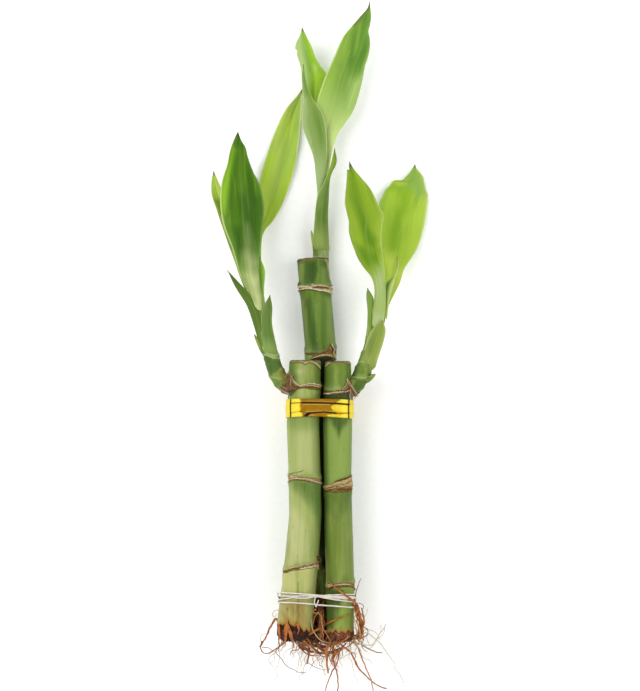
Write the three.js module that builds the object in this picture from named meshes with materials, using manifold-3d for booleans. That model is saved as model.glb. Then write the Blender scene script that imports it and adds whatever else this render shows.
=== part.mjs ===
// Lucky bamboo: three cut canes with leafy shoots and roots, tied with gold tape and an elastic band,
// lying on a surface. Millimetres, +Z up, +Y from the roots to the leaf tips. The origin is the middle
// of the flat spot under the back cane.
import * as THREE from "three";
import { mergeVertices } from "three/addons/utils/BufferGeometryUtils.js";
import Module from "manifold-3d";

const wasm = await Module();
wasm.setup();

// Driving dimensions
const FRONT_CANE_LENGTH = 150;
const GAP = 0.3;
const LEAF_THICKNESS = 0.7;
const COLLAR_THICKNESS = 0.6;
const FLAP_STAND_OFF = 0.3;
const TAPE_THICKNESS = 0.6;
const STRAND_THICKNESS = 0.6;
const STRAND_WIDTH = 1.0;
const FOOT_HEIGHT = 1.5;
const FOOT_REACH = 4;

// The photograph's frame: a front cane spans 280 of its points, and it looks straight down on the bundle
const FRONT_CANE_POINTS = 280;
const MM_PER_POINT = FRONT_CANE_LENGTH / FRONT_CANE_POINTS;
const PHOTO_MIDDLE = { x: 320, y: 345.5 };
const VIEW = { x: -0.8, y: 50.6, z: 1053, planeZ: 24 };

// Mesh density
const CANE_SIDES = 16;
const STEM_SIDES = 10;
const ROOT_SIDES = 5;
const THIN_ROOT_SIDES = 4;
const HOOP_STEPS = 32;
const STRAND_STEPS = 24;

// A point of the photograph at height z, brought to its true place
function at(px, py, z) {
  const scale = (MM_PER_POINT * (VIEW.z - z)) / (VIEW.z - VIEW.planeZ);
  const x = VIEW.x + (px - PHOTO_MIDDLE.x) * scale;
  const y = VIEW.y + (PHOTO_MIDDLE.y - py) * scale;
  return new THREE.Vector3(x, y, z);
}

// Repeatable random numbers from 0 to 1
function randomFrom(seed) {
  let state = seed;
  return () => {
    state = (state + 0x6d2b79f5) | 0;
    let t = Math.imul(state ^ (state >>> 15), 1 | state);
    t = (t + Math.imul(t ^ (t >>> 7), 61 | t)) ^ t;
    return ((t ^ (t >>> 14)) >>> 0) / 4294967296;
  };
}

const lerp = THREE.MathUtils.lerp;
const smooth = THREE.MathUtils.smoothstep;

// Mesh builders

// An indexed geometry with its faces turned outward
function geometryOf(points, faces) {
  let volume = 0;
  for (const [a, b, c] of faces) {
    volume += points[a].dot(points[b].clone().cross(points[c]));
  }
  const index = volume < 0 ? faces.map(([a, b, c]) => [a, c, b]) : faces;
  const geometry = new THREE.BufferGeometry().setFromPoints(points);
  geometry.setIndex(index.flat());
  return geometry;
}

// A closed tube through rings of equal length, with a flat fan on each end
function tube(rings) {
  const sides = rings[0].length;
  const points = rings.flat();
  const faces = [];
  for (let i = 0; i + 1 < rings.length; i++) {
    for (let j = 0; j < sides; j++) {
      const k = (j + 1) % sides;
      const a = i * sides + j;
      const b = i * sides + k;
      faces.push([a, b, b + sides], [a, b + sides, a + sides]);
    }
  }
  for (const [ring, turned] of [[0, true], [rings.length - 1, false]]) {
    const middle = new THREE.Vector3();
    rings[ring].forEach((p) => middle.addScaledVector(p, 1 / sides));
    const hub = points.push(middle) - 1;
    for (let j = 0; j < sides; j++) {
      const a = ring * sides + j;
      const b = ring * sides + ((j + 1) % sides);
      faces.push(turned ? [a, hub, b] : [a, b, hub]);
    }
  }
  return geometryOf(points, faces);
}

// A closed hoop through sections of equal length, the last one joined to the first
function hoop(sections) {
  const count = sections.length;
  const sides = sections[0].length;
  const faces = [];
  for (let i = 0; i < count; i++) {
    for (let j = 0; j < sides; j++) {
      const next = ((i + 1) % count) * sides;
      const k = (j + 1) % sides;
      faces.push([i * sides + j, i * sides + k, next + k], [i * sides + j, next + k, next + j]);
    }
  }
  return geometryOf(sections.flat(), faces);
}

// A thin blade round a grid of points, split into triangles alike on both faces
function blade(grid, halfThickness) {
  const rows = grid.length;
  const cols = grid[0].length;
  const normalAt = (i, j) => {
    const along = grid[Math.min(i + 1, rows - 1)][j].clone().sub(grid[Math.max(i - 1, 0)][j]);
    const across = grid[i][Math.min(j + 1, cols - 1)].clone().sub(grid[i][Math.max(j - 1, 0)]);
    return across.cross(along).normalize();
  };
  const face = (side) =>
    grid.map((row, i) => row.map((p, j) => p.clone().addScaledVector(normalAt(i, j), side * halfThickness)));
  const points = [face(1), face(-1)].flat(2);
  const under = rows * cols;
  const faces = [];
  for (let i = 0; i + 1 < rows; i++) {
    for (let j = 0; j + 1 < cols; j++) {
      const a = i * cols + j;
      const [b, c, d] = [a + 1, a + cols + 1, a + cols];
      faces.push([a, b, c], [a, c, d], [under + a, under + c, under + b], [under + a, under + d, under + c]);
    }
  }
  const rim = [];
  for (let j = 0; j < cols; j++) rim.push(j);
  for (let i = 1; i < rows; i++) rim.push(i * cols + cols - 1);
  for (let j = cols - 2; j >= 0; j--) rim.push((rows - 1) * cols + j);
  for (let i = rows - 2; i > 0; i--) rim.push(i * cols);
  rim.forEach((a, k) => {
    const b = rim[(k + 1) % rim.length];
    faces.push([a, under + a, under + b], [a, under + b, b]);
  });
  return geometryOf(points, faces);
}

// Rings of a tube along a path, each square to it
function ringsAlong(path, radii, steps, sides) {
  const rings = [];
  for (let i = 0; i <= steps; i++) {
    const middle = path.getPointAt(i / steps);
    const along = path.getTangentAt(i / steps);
    const right = new THREE.Vector3(0, 0, 1).cross(along);
    if (right.length() < 0.05) right.set(1, 0, 0);
    right.normalize();
    const up = along.clone().cross(right);
    const radius = valueAlong(radii, i / steps);
    const ring = [];
    for (let j = 0; j < sides; j++) {
      const angle = (j / sides) * 2 * Math.PI;
      const spoke = right.clone().multiplyScalar(Math.cos(angle)).addScaledVector(up, Math.sin(angle));
      ring.push(middle.clone().addScaledVector(spoke, radius));
    }
    rings.push(ring);
  }
  return rings;
}

// A value from an evenly spaced list, with t from 0 to 1 along it
function valueAlong(list, t) {
  const place = THREE.MathUtils.clamp(t, 0, 1) * (list.length - 1);
  const from = Math.min(Math.floor(place), list.length - 2);
  return lerp(list[from], list[from + 1], place - from);
}

// Joining and cutting

function solidOf(geometry) {
  const bare = geometry.clone();
  bare.deleteAttribute("normal");
  bare.deleteAttribute("uv");
  const merged = mergeVertices(bare, 1e-4);
  return new wasm.Manifold(
    new wasm.Mesh({
      numProp: 3,
      vertProperties: merged.attributes.position.array,
      triVerts: new Uint32Array(merged.index.array),
    }),
  );
}

function geometryFrom(solid) {
  const mesh = solid.getMesh();
  const geometry = new THREE.BufferGeometry();
  geometry.setAttribute("position", new THREE.BufferAttribute(mesh.vertProperties, 3));
  geometry.setIndex(new THREE.BufferAttribute(mesh.triVerts, 1));
  return geometry;
}

function joined(solids) {
  return solids.reduce((whole, piece) => whole.add(piece));
}

function largest(solid) {
  return solid.decompose().reduce((a, b) => (b.volume() > a.volume() ? b : a));
}

// The solid less all that it would touch, as one body
function clearOf(solid, neighbours) {
  return largest(neighbours.reduce((left, other) => left.subtract(other), solid));
}

// Canes

// Stations from the top end to the root end: the photograph's x and y, and the radius
const CANES = {
  left: {
    z: 25.4,
    axis: [
      [305.3, 360, 8.4],
      [303, 424, 8.65],
      [304.5, 475, 8.6],
      [305.3, 515, 8.75],
      [302, 555, 9.1],
      [298.4, 592, 9.4],
      [294.8, 624, 9.7],
    ],
    nodes: [387, 480, 569],
    crownEnd: 641,
  },
  right: {
    z: 24.2,
    axis: [
      [338, 361, 6.95],
      [337.8, 424, 7.75],
      [337.5, 480, 7.35],
      [338.5, 529, 7.65],
      [340.3, 586, 7.7],
      [340.5, 631, 7.4],
    ],
    nodes: [392, 488, 587],
    crownEnd: 642,
  },
  back: {
    z: 9.4,
    axis: [
      [312.3, 258, 8.4],
      [320.6, 347, 8.3],
      [321.5, 440, 8.4],
      [321.5, 580, 8.4],
      [320, 632, 8.2],
    ],
    nodes: [288, 352],
    feet: [352, 440, 530],
    crownEnd: 643,
  },
};

for (const cane of Object.values(CANES)) {
  cane.stations = cane.axis.map(([px, py, radius]) => ({ ...at(px, py, cane.z), radius }));
  cane.nodeY = cane.nodes.map((py) => at(0, py, cane.z).y);
  cane.footY = (cane.feet ?? []).map((py) => at(0, py, cane.z).y);
  cane.topY = cane.stations[0].y;
  cane.rootY = cane.stations.at(-1).y;
  cane.crownY = at(0, cane.crownEnd, cane.z).y;
}

// A node's swellings, with a groove between them that seats the papery collar
function nodeRelief(d) {
  const upper = 0.6 * Math.exp(-(((d - 2) / 1.8) ** 2));
  const lower = 0.35 * Math.exp(-(((d + 2) / 2) ** 2));
  const groove = 0.45 * Math.exp(-((d / 0.9) ** 4));
  return upper + lower - groove;
}

// The cane's middle and radius at y
function caneAt(cane, y) {
  const stations = cane.stations;
  let i = 0;
  while (i < stations.length - 2 && stations[i + 1].y > y) i++;
  const [a, b] = [stations[i], stations[i + 1]];
  const t = (y - a.y) / (b.y - a.y);
  const relief = cane.nodeY.reduce((sum, nodeY) => sum + nodeRelief(y - nodeY), 0);
  return { x: lerp(a.x, b.x, t), radius: lerp(a.radius, b.radius, t) + relief };
}

// The cut root end is ragged: how far a point of its edge lies above the end
function ragged(j) {
  return (j % 2) * 2 + 0.9 * Math.sin((j / CANE_SIDES) * 6 * Math.PI) + 0.9;
}

function caneRing(cane, y, grow, extraY = () => 0) {
  const { x, radius } = caneAt(cane, y);
  const footHere = cane.footY.reduce((sum, f) => sum + Math.exp(-(((y - f) / FOOT_REACH) ** 2)), 0);
  const ring = [];
  for (let j = 0; j < CANE_SIDES; j++) {
    const angle = (j / CANE_SIDES) * 2 * Math.PI;
    const down = Math.max(0, -Math.sin(angle)) ** 3;
    const r = radius + grow + FOOT_HEIGHT * footHere * down;
    ring.push(new THREE.Vector3(x + r * Math.cos(angle), y + extraY(j), cane.z + r * Math.sin(angle)));
  }
  return ring;
}

function caneSolid(cane, grow = 0) {
  const nearNode = [4.2, 2, 0.7, -0.7, -2.2, -4.5];
  const nearFoot = [9, 5, 2.5, 0, -2.5, -5, -9];
  const levels = [cane.topY - 1, ...cane.stations.slice(1, -1).map((s) => s.y)];
  cane.nodeY.forEach((y) => levels.push(...nearNode.map((d) => y + d)));
  cane.footY.slice(1).forEach((y) => levels.push(...nearFoot.map((d) => y + d)));
  const inOrder = levels.filter((y) => y < cane.topY && y > cane.rootY + 6).sort((a, b) => b - a);
  const spaced = inOrder.filter((y, i) => i === 0 || inOrder[i - 1] - y > 0.4);
  const rings = [
    caneRing(cane, cane.topY + grow, grow - 0.5),
    ...spaced.map((y) => caneRing(cane, y, grow)),
    caneRing(cane, cane.rootY + 5, grow),
    caneRing(cane, cane.rootY, grow, (j) => ragged(j) - grow),
  ];
  return solidOf(tube(rings));
}

function groundBlock() {
  const depth = 20;
  return solidOf(new THREE.BoxGeometry(400, 600, depth).translate(0, 0, -depth / 2));
}

// Papery collars

// Each collar's torn flap: its height in millimetres and its angle round the cane, 90 being the front,
// and how far the collar hangs below the node's line there
const COLLARS = {
  left: [
    { flap: 1.4, angle: 70, below: 0.7 },
    { flap: 3.2, angle: 110, below: 0.7 },
    { flap: 1.6, angle: 60, below: 0.7 },
  ],
  right: [
    { flap: 1.2, angle: 100, below: 0.7 },
    { flap: 6, angle: 60, below: 0.8 },
    { flap: 1.2, angle: 110, below: 0.7 },
  ],
  back: [
    { flap: 1.4, angle: 80, below: 0.7 },
    { flap: 5.5, angle: 55, below: 2.2 },
  ],
};
const COLLAR_HALF = 0.7;
const TALL_FLAP = 2;

function collarSolid(cane, nodeY, collar) {
  const sections = [];
  for (let i = 0; i < CANE_SIDES; i++) {
    const angle = (i / CANE_SIDES) * 2 * Math.PI;
    const away = Math.cos(angle - THREE.MathUtils.degToRad(collar.angle));
    const front = smooth(Math.sin(angle), 0, 0.6);
    const high = COLLAR_HALF + collar.flap * front * Math.max(0, away) ** 3 + 0.15 * (i % 3);
    const low = lerp(COLLAR_HALF, collar.below, front) + 0.1 * (i % 2);
    const place = (y, lift) => {
      const { x, radius } = caneAt(cane, y);
      const standOff = y > nodeY + 1 && collar.flap > TALL_FLAP ? FLAP_STAND_OFF : 0;
      const r = radius + GAP + lift + standOff;
      return new THREE.Vector3(x + r * Math.cos(angle), y, cane.z + r * Math.sin(angle));
    };
    const tall = [-low, COLLAR_HALF - 0.1, lerp(COLLAR_HALF, high, 0.35), high];
    const levels = collar.flap > TALL_FLAP ? tall : [-low, high];
    const inner = levels.map((d) => place(nodeY + d, 0));
    const outer = levels.map((d) => place(nodeY + d, COLLAR_THICKNESS)).reverse();
    sections.push([...inner, ...outer]);
  }
  return solidOf(hoop(sections));
}

// Shoot stems

// Centre lines in the photograph's x and y with the height, and radii from the cane to the tip
const STEMS = {
  left: {
    path: [
      [298, 388, 25.4],
      [287, 385, 25],
      [280, 378.5, 24.6],
      [274, 366, 24.2],
      [270.5, 352, 23.8],
      [266.5, 337, 23.4],
      [262.5, 320, 22.8],
      [259, 303, 22],
    ],
    radii: [4.2, 4.2, 4.3, 4.2, 4, 3.3, 2.4, 1.4],
    scales: [{ from: [266, 357, 24], to: [254, 334, 24.5], radius: 1.3 }],
  },
  center: {
    path: [
      [321, 276, 5.4],
      [321, 258, 5.6],
      [321.2, 238, 6.6],
      [321.5, 218, 8],
      [322, 198, 9.2],
      [323, 178, 10],
    ],
    radii: [3.6, 4.1, 4, 3.4, 2.6, 1.6],
    scales: [{ from: [316, 254, 8], to: [311, 230, 9], radius: 1 }],
  },
  right: {
    path: [
      [340, 391, 24.2],
      [351, 388, 24.4],
      [358.5, 380, 24.4],
      [364, 368, 24.2],
      [369, 354, 23.8],
      [373, 338, 23.4],
      [377, 320, 22.6],
      [380, 303, 21.6],
    ],
    radii: [4.2, 4.3, 4.4, 4.3, 4, 3.3, 2.4, 1.4],
    scales: [{ from: [365, 380, 26], to: [374, 374.5, 26.5], radius: 1.6 }],
  },
};

function curveOf(points) {
  return new THREE.CatmullRomCurve3(points.map(([px, py, z]) => at(px, py, z)), false, "centripetal");
}

function stemSolid(stem, grow = 0) {
  const radii = stem.radii.map((r) => r + grow);
  const body = solidOf(tube(ringsAlong(curveOf(stem.path), radii, 10, STEM_SIDES)));
  const scales = stem.scales.map(({ from, to, radius }) => {
    const line = new THREE.LineCurve3(at(...from), at(...to));
    return solidOf(tube(ringsAlong(line, [radius + grow, radius * 0.8 + grow, 0.35 + grow], 3, 6)));
  });
  return joined([body, ...scales]);
}

// A ragged brown scar round the stem where a side shoot leaves its cane
function scarSolid(stem) {
  const path = curveOf(stem.path);
  const rings = (grow) => ringsAlong(path, stem.radii.map((r) => r + grow), 20, STEM_SIDES).slice(1, 5);
  const [inner, outer] = [rings(GAP), rings(GAP + COLLAR_THICKNESS)];
  const sections = inner[0].map((_, j) => [
    ...inner.map((ring) => ring[j]),
    ...outer.map((ring) => ring[j]).reverse(),
  ]);
  return solidOf(hoop(sections));
}

// Leaves

// Edges are points of the photograph from the base to the tip, left and right. The heights run along the
// middle. arch is how far the middle stands above the edges, as a share of the half width, at the base
// and on the blade, and tilt is how far the right edge stands above the left in the same way.
const LEAVES = {
  leaf_left_front: {
    left: [[257, 319], [249, 294], [241, 277], [233, 250], [223, 225], [220.5, 200], [222, 181],
      [229.5, 153], [238, 131.6]],
    right: [[266, 321], [261.5, 294], [258.7, 271], [261, 238], [264, 211], [262.5, 192], [255.4, 173],
      [246, 148], [238, 131.6]],
    heights: [27, 26.5, 25.5, 24.5, 23.5, 22, 20],
    arch: [0.9, 0.25],
    tilt: 0,
  },
  leaf_left_side: {
    left: [[256, 312], [243, 285], [234, 260], [225, 235], [216, 208], [211.6, 194], [211.4, 182],
      [213.6, 171]],
    right: [[261, 312], [251, 280], [243, 255], [236, 232], [231, 212], [224, 195], [218, 181],
      [213.6, 171]],
    heights: [20.5, 18.5, 15.5, 12.5, 10.5],
    arch: [-0.4, -0.2],
    tilt: 0.2,
  },
  leaf_left_back: {
    left: [[259.5, 325], [255, 280], [254, 245], [256, 210], [260, 179], [266.6, 156], [276, 129],
      [287, 110], [303, 88]],
    right: [[268, 325], [263.5, 280], [264.5, 245], [271, 223], [280, 207], [292, 179], [297.6, 154],
      [300.8, 128], [303, 88]],
    heights: [19.7, 15.5, 8.5, 3, 0.9, 0.6, 1.4, 2.5],
    arch: [-0.4, -0.2],
    tilt: 0,
  },
  leaf_left_inner: {
    left: [[257, 312], [255, 290], [255.5, 272], [259.5, 257]],
    right: [[264, 312], [264, 289], [264.8, 270], [259.5, 257]],
    heights: [20.8, 20.4, 20, 19.6],
    arch: [0.3, 0.2],
    tilt: -0.2,
  },
  leaf_left_low_side: {
    left: [[262, 354], [256, 333], [252, 320], [247, 306], [241, 296], [234.7, 286], [227.3, 270]],
    right: [[268, 347], [262.5, 325], [260.7, 310], [255, 300], [248, 292], [240, 283.5], [227.3, 270]],
    heights: [27, 26.5, 26, 25, 24],
    arch: [0.7, 0.3],
    tilt: 0.7,
  },
  leaf_left_low_front: {
    left: [[263.3, 353], [261.2, 337], [261.2, 322], [262.5, 309], [270, 295]],
    right: [[279, 358], [274.5, 337], [272, 322], [272.2, 307], [270, 295]],
    heights: [28.9, 28.7, 28.4, 28],
    arch: [1, 0.5],
    tilt: 0,
  },
  leaf_center_tall: {
    left: [[320, 190], [318, 160], [315.5, 130], [316.5, 104], [321.4, 85], [331.3, 64], [339.7, 43],
      [352.7, 25], [369.6, 1.3]],
    right: [[327, 190], [330.4, 160], [334.8, 141], [346.4, 122], [355.4, 105], [363, 82], [369, 51],
      [371, 22], [369.6, 1.3]],
    heights: [12.6, 12.2, 12, 12.4, 13, 14, 16],
    arch: [-0.4, -0.15],
    tilt: 0,
  },
  leaf_center_back: {
    left: [[319, 186], [316, 155], [308, 120], [303, 100], [301.8, 80], [298.7, 64], [295.6, 48], [302, 27]],
    right: [[326, 186], [323.5, 155], [323, 120], [326, 95], [326.3, 74], [318, 62], [311.6, 46], [302, 27]],
    heights: [7.1, 7.7, 8.1, 8.4, 9, 9.9],
    arch: [-0.4, -0.15],
    tilt: 0,
  },
  leaf_center_front: {
    left: [[315, 196], [315.2, 161], [309, 142], [303.6, 132], [301.6, 122], [303.4, 98], [301.8, 74],
      [303.3, 64]],
    right: [[326, 196], [325.4, 176], [327, 140], [326.3, 127], [320.5, 109], [311.6, 98], [305.8, 82],
      [303.3, 64]],
    heights: [16.3, 16.5, 17, 17.6, 18],
    arch: [0.9, 0.45],
    tilt: 0,
  },
  leaf_center_low: {
    left: [[313, 256], [314, 226], [317.4, 197], [323.2, 184], [329.5, 168], [334.6, 148]],
    right: [[329.6, 256], [328, 222], [328.6, 201], [330.8, 176], [336.6, 162], [334.6, 148]],
    heights: [10.5, 12, 14, 16, 17.5],
    arch: [1, 0.5],
    tilt: 0,
  },
  leaf_right_front: {
    left: [[371, 334], [373, 310], [374.3, 286], [368, 274], [355.5, 253], [348.4, 231], [344.8, 202],
      [346.6, 177], [349.3, 161.6]],
    right: [[381.5, 334], [385, 310], [385, 279], [381.4, 250], [381.4, 232], [383.7, 214], [374.3, 194],
      [361.8, 176], [349.3, 161.6]],
    heights: [27.2, 27, 26.5, 25.5, 24.5, 23],
    arch: [0.9, 0.2],
    tilt: 0,
  },
  leaf_right_back: {
    left: [[374, 332], [380, 308], [383, 285], [382.5, 262], [380, 240], [379, 220], [379.4, 204],
      [388.6, 187], [404, 178], [415, 164]],
    right: [[383, 332], [388, 308], [396.4, 290], [403.8, 270], [415.4, 251], [424.3, 223], [427.9, 197],
      [425.2, 187], [420.7, 171], [415, 164]],
    heights: [19.4, 17, 12, 6.5, 2, 0.6, 1, 2.5],
    arch: [-0.4, -0.2],
    tilt: 0,
  },
  leaf_right_small: {
    left: [[384, 318], [386.4, 299], [386.6, 284], [391.4, 277], [396.9, 257]],
    right: [[388, 318], [389.7, 299], [394.7, 281], [398.8, 265], [396.9, 257]],
    heights: [24, 24, 23.6, 23],
    arch: [0.5, 0.3],
    tilt: -0.3,
  },
  leaf_right_side: {
    left: [[364, 345], [366.6, 330], [367.4, 312], [366.3, 295], [367.6, 288]],
    right: [[371, 345], [371.5, 330], [372.7, 310], [373.4, 298], [367.6, 288]],
    heights: [25, 24.4, 23.6, 23],
    arch: [0.6, 0.2],
    tilt: 0.4,
  },
  leaf_right_sheath: {
    left: [[361, 362], [364, 350], [368.2, 337], [374, 327.5], [382.5, 320.5]],
    right: [[374.5, 371], [378.5, 357], [384, 340], [385.6, 329], [382.5, 320.5]],
    heights: [28.9, 28.9, 28.8, 28.4],
    arch: [1, 0.7],
    tilt: 0,
  },
};

function leafGrid(leaf, grow) {
  const edges = [leaf.left, leaf.right].map((points) => {
    const flat = points.map(([px, py]) => new THREE.Vector3(px, py, 0));
    return new THREE.CatmullRomCurve3(flat, false, "centripetal");
  });
  const length = edges[0].getLength() * MM_PER_POINT;
  const rows = Math.round(THREE.MathUtils.clamp(length / 8, 5, 13));
  const cols = length > 60 ? 6 : 4;
  const grid = [];
  for (let i = 0; i <= rows; i++) {
    const t = i / rows;
    const [left, right] = edges.map((edge) => edge.getPointAt(t));
    const middle = left.clone().add(right).multiplyScalar(0.5);
    const across = right.clone().sub(left);
    const half = Math.max(across.length() / 2, 0.6);
    if (i === rows) across.copy(edges[0].getTangentAt(1)).set(-across.y, across.x, 0);
    across.normalize();
    const blend = smooth(t, 0.05, 0.4);
    const arch = lerp(leaf.arch[0], leaf.arch[1], blend);
    const halfMm = half * MM_PER_POINT;
    const row = [];
    for (let j = 0; j <= cols; j++) {
      const v = (2 * j) / cols - 1;
      const round = 1 - Math.sqrt(1 - 0.96 * v * v);
      const fall = lerp(round, v * v, blend);
      const tilt = leaf.tilt * (1 - blend * 0.6) * v;
      const z = valueAlong(leaf.heights, t) + halfMm * (tilt - arch * fall);
      row.push(at(middle.x + across.x * half * v, middle.y + across.y * half * v, z));
    }
    grid.push(row);
  }
  if (grow > 0) widen(grid, grow);
  return grid;
}

// The grid pushed outward by the given distance along all four sides
function widen(grid, distance) {
  const push = (p, from) => p.add(p.clone().sub(from).setLength(distance));
  const last = grid.length - 1;
  grid.forEach((row) => {
    push(row[0], row[1]);
    push(row.at(-1), row.at(-2));
  });
  grid[0].forEach((p, j) => push(p, grid[1][j]));
  grid[last].forEach((p, j) => push(p, grid[last - 1][j]));
}

function leafSolid(leaf, grow = 0) {
  return solidOf(blade(leafGrid(leaf, grow), LEAF_THICKNESS / 2 + grow));
}

// Ties

// The line that a tight band takes round circles: for each direction, the circle that reaches furthest
function bandPoint(circles, angle, offset) {
  const [c, s] = [Math.cos(angle), Math.sin(angle)];
  const reach = ({ x, z, radius }) => x * c + z * s + radius;
  const far = circles.reduce((a, b) => (reach(b) > reach(a) ? b : a));
  return { x: far.x + (far.radius + offset) * c, z: far.z + (far.radius + offset) * s };
}

function circlesAt(py) {
  return Object.values(CANES).map((cane) => ({ ...caneAt(cane, at(0, py, cane.z).y), z: cane.z }));
}

function tapeSolid() {
  const edges = [399, 418.8];
  const sections = [];
  for (let i = 0; i < HOOP_STEPS; i++) {
    const angle = (i / HOOP_STEPS) * 2 * Math.PI;
    const corner = (edge, offset) => {
      const { x, z } = bandPoint(circlesAt(409), angle, offset);
      return new THREE.Vector3(x, at(0, edge, VIEW.planeZ).y, z);
    };
    const [inner, outer] = [GAP, GAP + TAPE_THICKNESS];
    sections.push([
      corner(edges[0], inner),
      corner(edges[1], inner),
      corner(edges[1], outer),
      corner(edges[0], outer),
    ]);
  }
  return solidOf(hoop(sections));
}

// Each turn's height in the photograph at the left, on the right and behind
const STRAND_TURNS = [
  { left: 591, right: 594.6, behind: 598 },
  { left: 594, right: 597, behind: 599 },
  { left: 600, right: 599.4, behind: 600 },
  { left: 602.4, right: 607.4, behind: 601 },
];

function strandSolid(turn) {
  const sections = [];
  const circles = circlesAt(606);
  for (let i = 0; i < STRAND_STEPS; i++) {
    const angle = (i / STRAND_STEPS) * 2 * Math.PI;
    const sideways = (1 + Math.cos(angle)) / 2;
    const front = smooth(Math.sin(angle), -0.6, 0.2);
    const py = lerp(turn.behind, lerp(turn.left, turn.right, sideways), front);
    const y = at(0, py, VIEW.planeZ).y;
    const section = [];
    for (let j = 0; j < 4; j++) {
      const turnAngle = (j / 4) * 2 * Math.PI;
      const lift = (STRAND_THICKNESS / 2) * (1 + Math.cos(turnAngle));
      const { x, z } = bandPoint(circles, angle, GAP + lift);
      section.push(new THREE.Vector3(x, y + (STRAND_WIDTH / 2) * Math.sin(turnAngle), z));
    }
    sections.push(section);
  }
  return solidOf(hoop(sections));
}

// Roots

// The brown root crown below a cane's ragged end
function crownSolid(cane) {
  const gapBelow = 0.5;
  const level = (y, share, extraY) => {
    const ring = caneRing(cane, y, 0, extraY);
    const { x } = caneAt(cane, y);
    return ring.map((p) => new THREE.Vector3(lerp(x, p.x, share), p.y, lerp(cane.z, p.z, share)));
  };
  const rings = [
    level(cane.rootY, 0.97, (j) => ragged(j) - gapBelow),
    level(cane.rootY - 3.5, 0.96),
    level(cane.crownY + 1.5, 0.9),
    level(cane.crownY, 0.72),
  ];
  return solidOf(tube(rings));
}

// The height of a cane's front surface at a point of the photograph, with some clearance
function overCane(cane, px, py, lift) {
  const { x, radius } = caneAt(cane, at(px, py, cane.z).y);
  const away = at(px, py, cane.z + radius).x - x;
  const reach = radius + lift;
  return cane.z + Math.sqrt(Math.max(reach * reach - away * away, 0.1));
}

// Two roots that lie over the right cane: where each leaves its crown, and its line in the photograph
const OVER_ROOT = {
  radius: 0.8,
  lift: GAP + STRAND_THICKNESS + GAP,
  from: [[346, 640, 24], [356, 637.5, 25]],
  line: [[358.5, 628], [357.6, 616], [354.5, 603.5], [347, 596], [338, 588.5], [329, 581]],
};
const CROSSING_ROOT = {
  radius: 0.6,
  lift: GAP,
  from: [[302, 639, 27], [314, 634, 31]],
  line: [[328, 624], [339, 620], [351, 615.5]],
};

// Roots that stand out in the photograph: x, y and height along each, and its radius
const MAIN_ROOTS = [
  { radius: 0.85, path: [[286, 634, 26], [272, 628, 24], [261, 645, 16], [263, 652, 13],
    [270, 654, 13], [278, 649, 16], [287, 638, 20]] },
  { radius: 0.9, path: [[291, 636, 30], [287, 630, 33.5], [285, 640, 34], [284, 645, 32]] },
  { radius: 0.6, path: [[285, 634, 29], [279, 636, 29.5], [279, 651, 27]] },
  { radius: 0.45, path: [[288, 638, 22], [276, 652, 16], [287, 664.5, 10], [302, 671, 6],
    [308, 673, 4]] },
  { radius: 0.8, path: [[300, 636, 24], [309, 648, 25], [308.6, 656, 24], [307, 664, 22]] },
  { radius: 0.8, path: [[332, 640, 25], [326.5, 648, 26], [327, 656, 25], [327.7, 673, 22]] },
  { radius: 0.6, path: [[334, 640, 22], [333, 657.6, 20], [336, 668, 17], [337.6, 682, 14],
    [337, 697, 11]] },
  { radius: 0.6, path: [[342, 640, 27], [338.4, 663, 24], [331.5, 674.5, 21], [323, 698, 16]] },
  { radius: 0.65, path: [[336, 640, 21], [342, 647, 17], [352, 654, 14], [357, 666, 10],
    [372.4, 681, 6], [387, 689, 2]] },
  { radius: 0.45, path: [[348, 639, 24], [358, 645, 21], [366, 670, 15], [372, 681, 12],
    [374, 696, 9]] },
  { radius: 0.5, path: [[346, 639, 22], [363, 645, 18], [371, 650, 14], [382, 653, 9]] },
  { radius: 0.4, path: [[348, 639, 26], [366, 637, 26], [376, 641, 22], [387, 656, 16],
    [394, 662, 12], [395, 668, 10], [403, 681, 5]] },
  { radius: 0.4, path: [[347, 639, 24], [366, 645, 24], [374, 641, 26], [380, 631, 26],
    [387, 625, 24]] },
  { radius: 0.7, path: [[345, 639.5, 20], [358, 634, 16], [364, 622, 18], [361, 610, 22]] },
  { radius: 0.9, path: [[345, 639, 24], [357, 636, 26], [360, 622, 26], [359.6, 606, 25]] },
  { radius: 0.5, path: [[346, 640, 20], [360, 638, 20], [368, 634, 22], [369, 640, 19],
    [364, 648, 16]] },
  { radius: 1.0, path: [[300, 634, 22], [317, 636, 22], [320, 622, 22.5], [319.5, 603, 22.5]] },
  { radius: 0.8, path: [[340, 640, 26], [325, 642, 27], [321.5, 625, 27.5], [321.5, 611, 27]] },
  { radius: 1.1, path: [[294, 636, 24], [312, 645, 22], [330, 646, 20], [342, 640, 22]] },
  { radius: 1.1, path: [[296, 636, 20], [308, 645, 12], [320, 636, 9]] },
  { radius: 1.1, path: [[340, 640, 20], [330, 645, 12], [320, 636, 9]] },
];

// A rooted fringe round each crown, drawn by a seeded rule
const FRINGE = { left: 6, right: 7, back: 5 };

function rootSolid(points, radius, spacing = 5) {
  const path = new THREE.CatmullRomCurve3(points, false, "centripetal");
  const sides = radius < 0.75 ? THIN_ROOT_SIDES : ROOT_SIDES;
  const steps = Math.max(4, Math.round(path.getLength() / spacing));
  return solidOf(tube(ringsAlong(path, [radius, radius, radius * 0.8, radius * 0.5], steps, sides)));
}

// A root that starts in a crown and then lies over the right cane
function rootOverCane({ radius, lift, from, line }) {
  const cane = CANES.right;
  const route = new THREE.CatmullRomCurve3(line.map(([px, py]) => new THREE.Vector3(px, py, 0)));
  const lying = route
    .getSpacedPoints(2 * line.length)
    .map(({ x, y }) => at(x, y, overCane(cane, x, y, lift + radius)));
  return rootSolid([...from.map((p) => at(...p)), ...lying], radius, 2.5);
}

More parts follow.
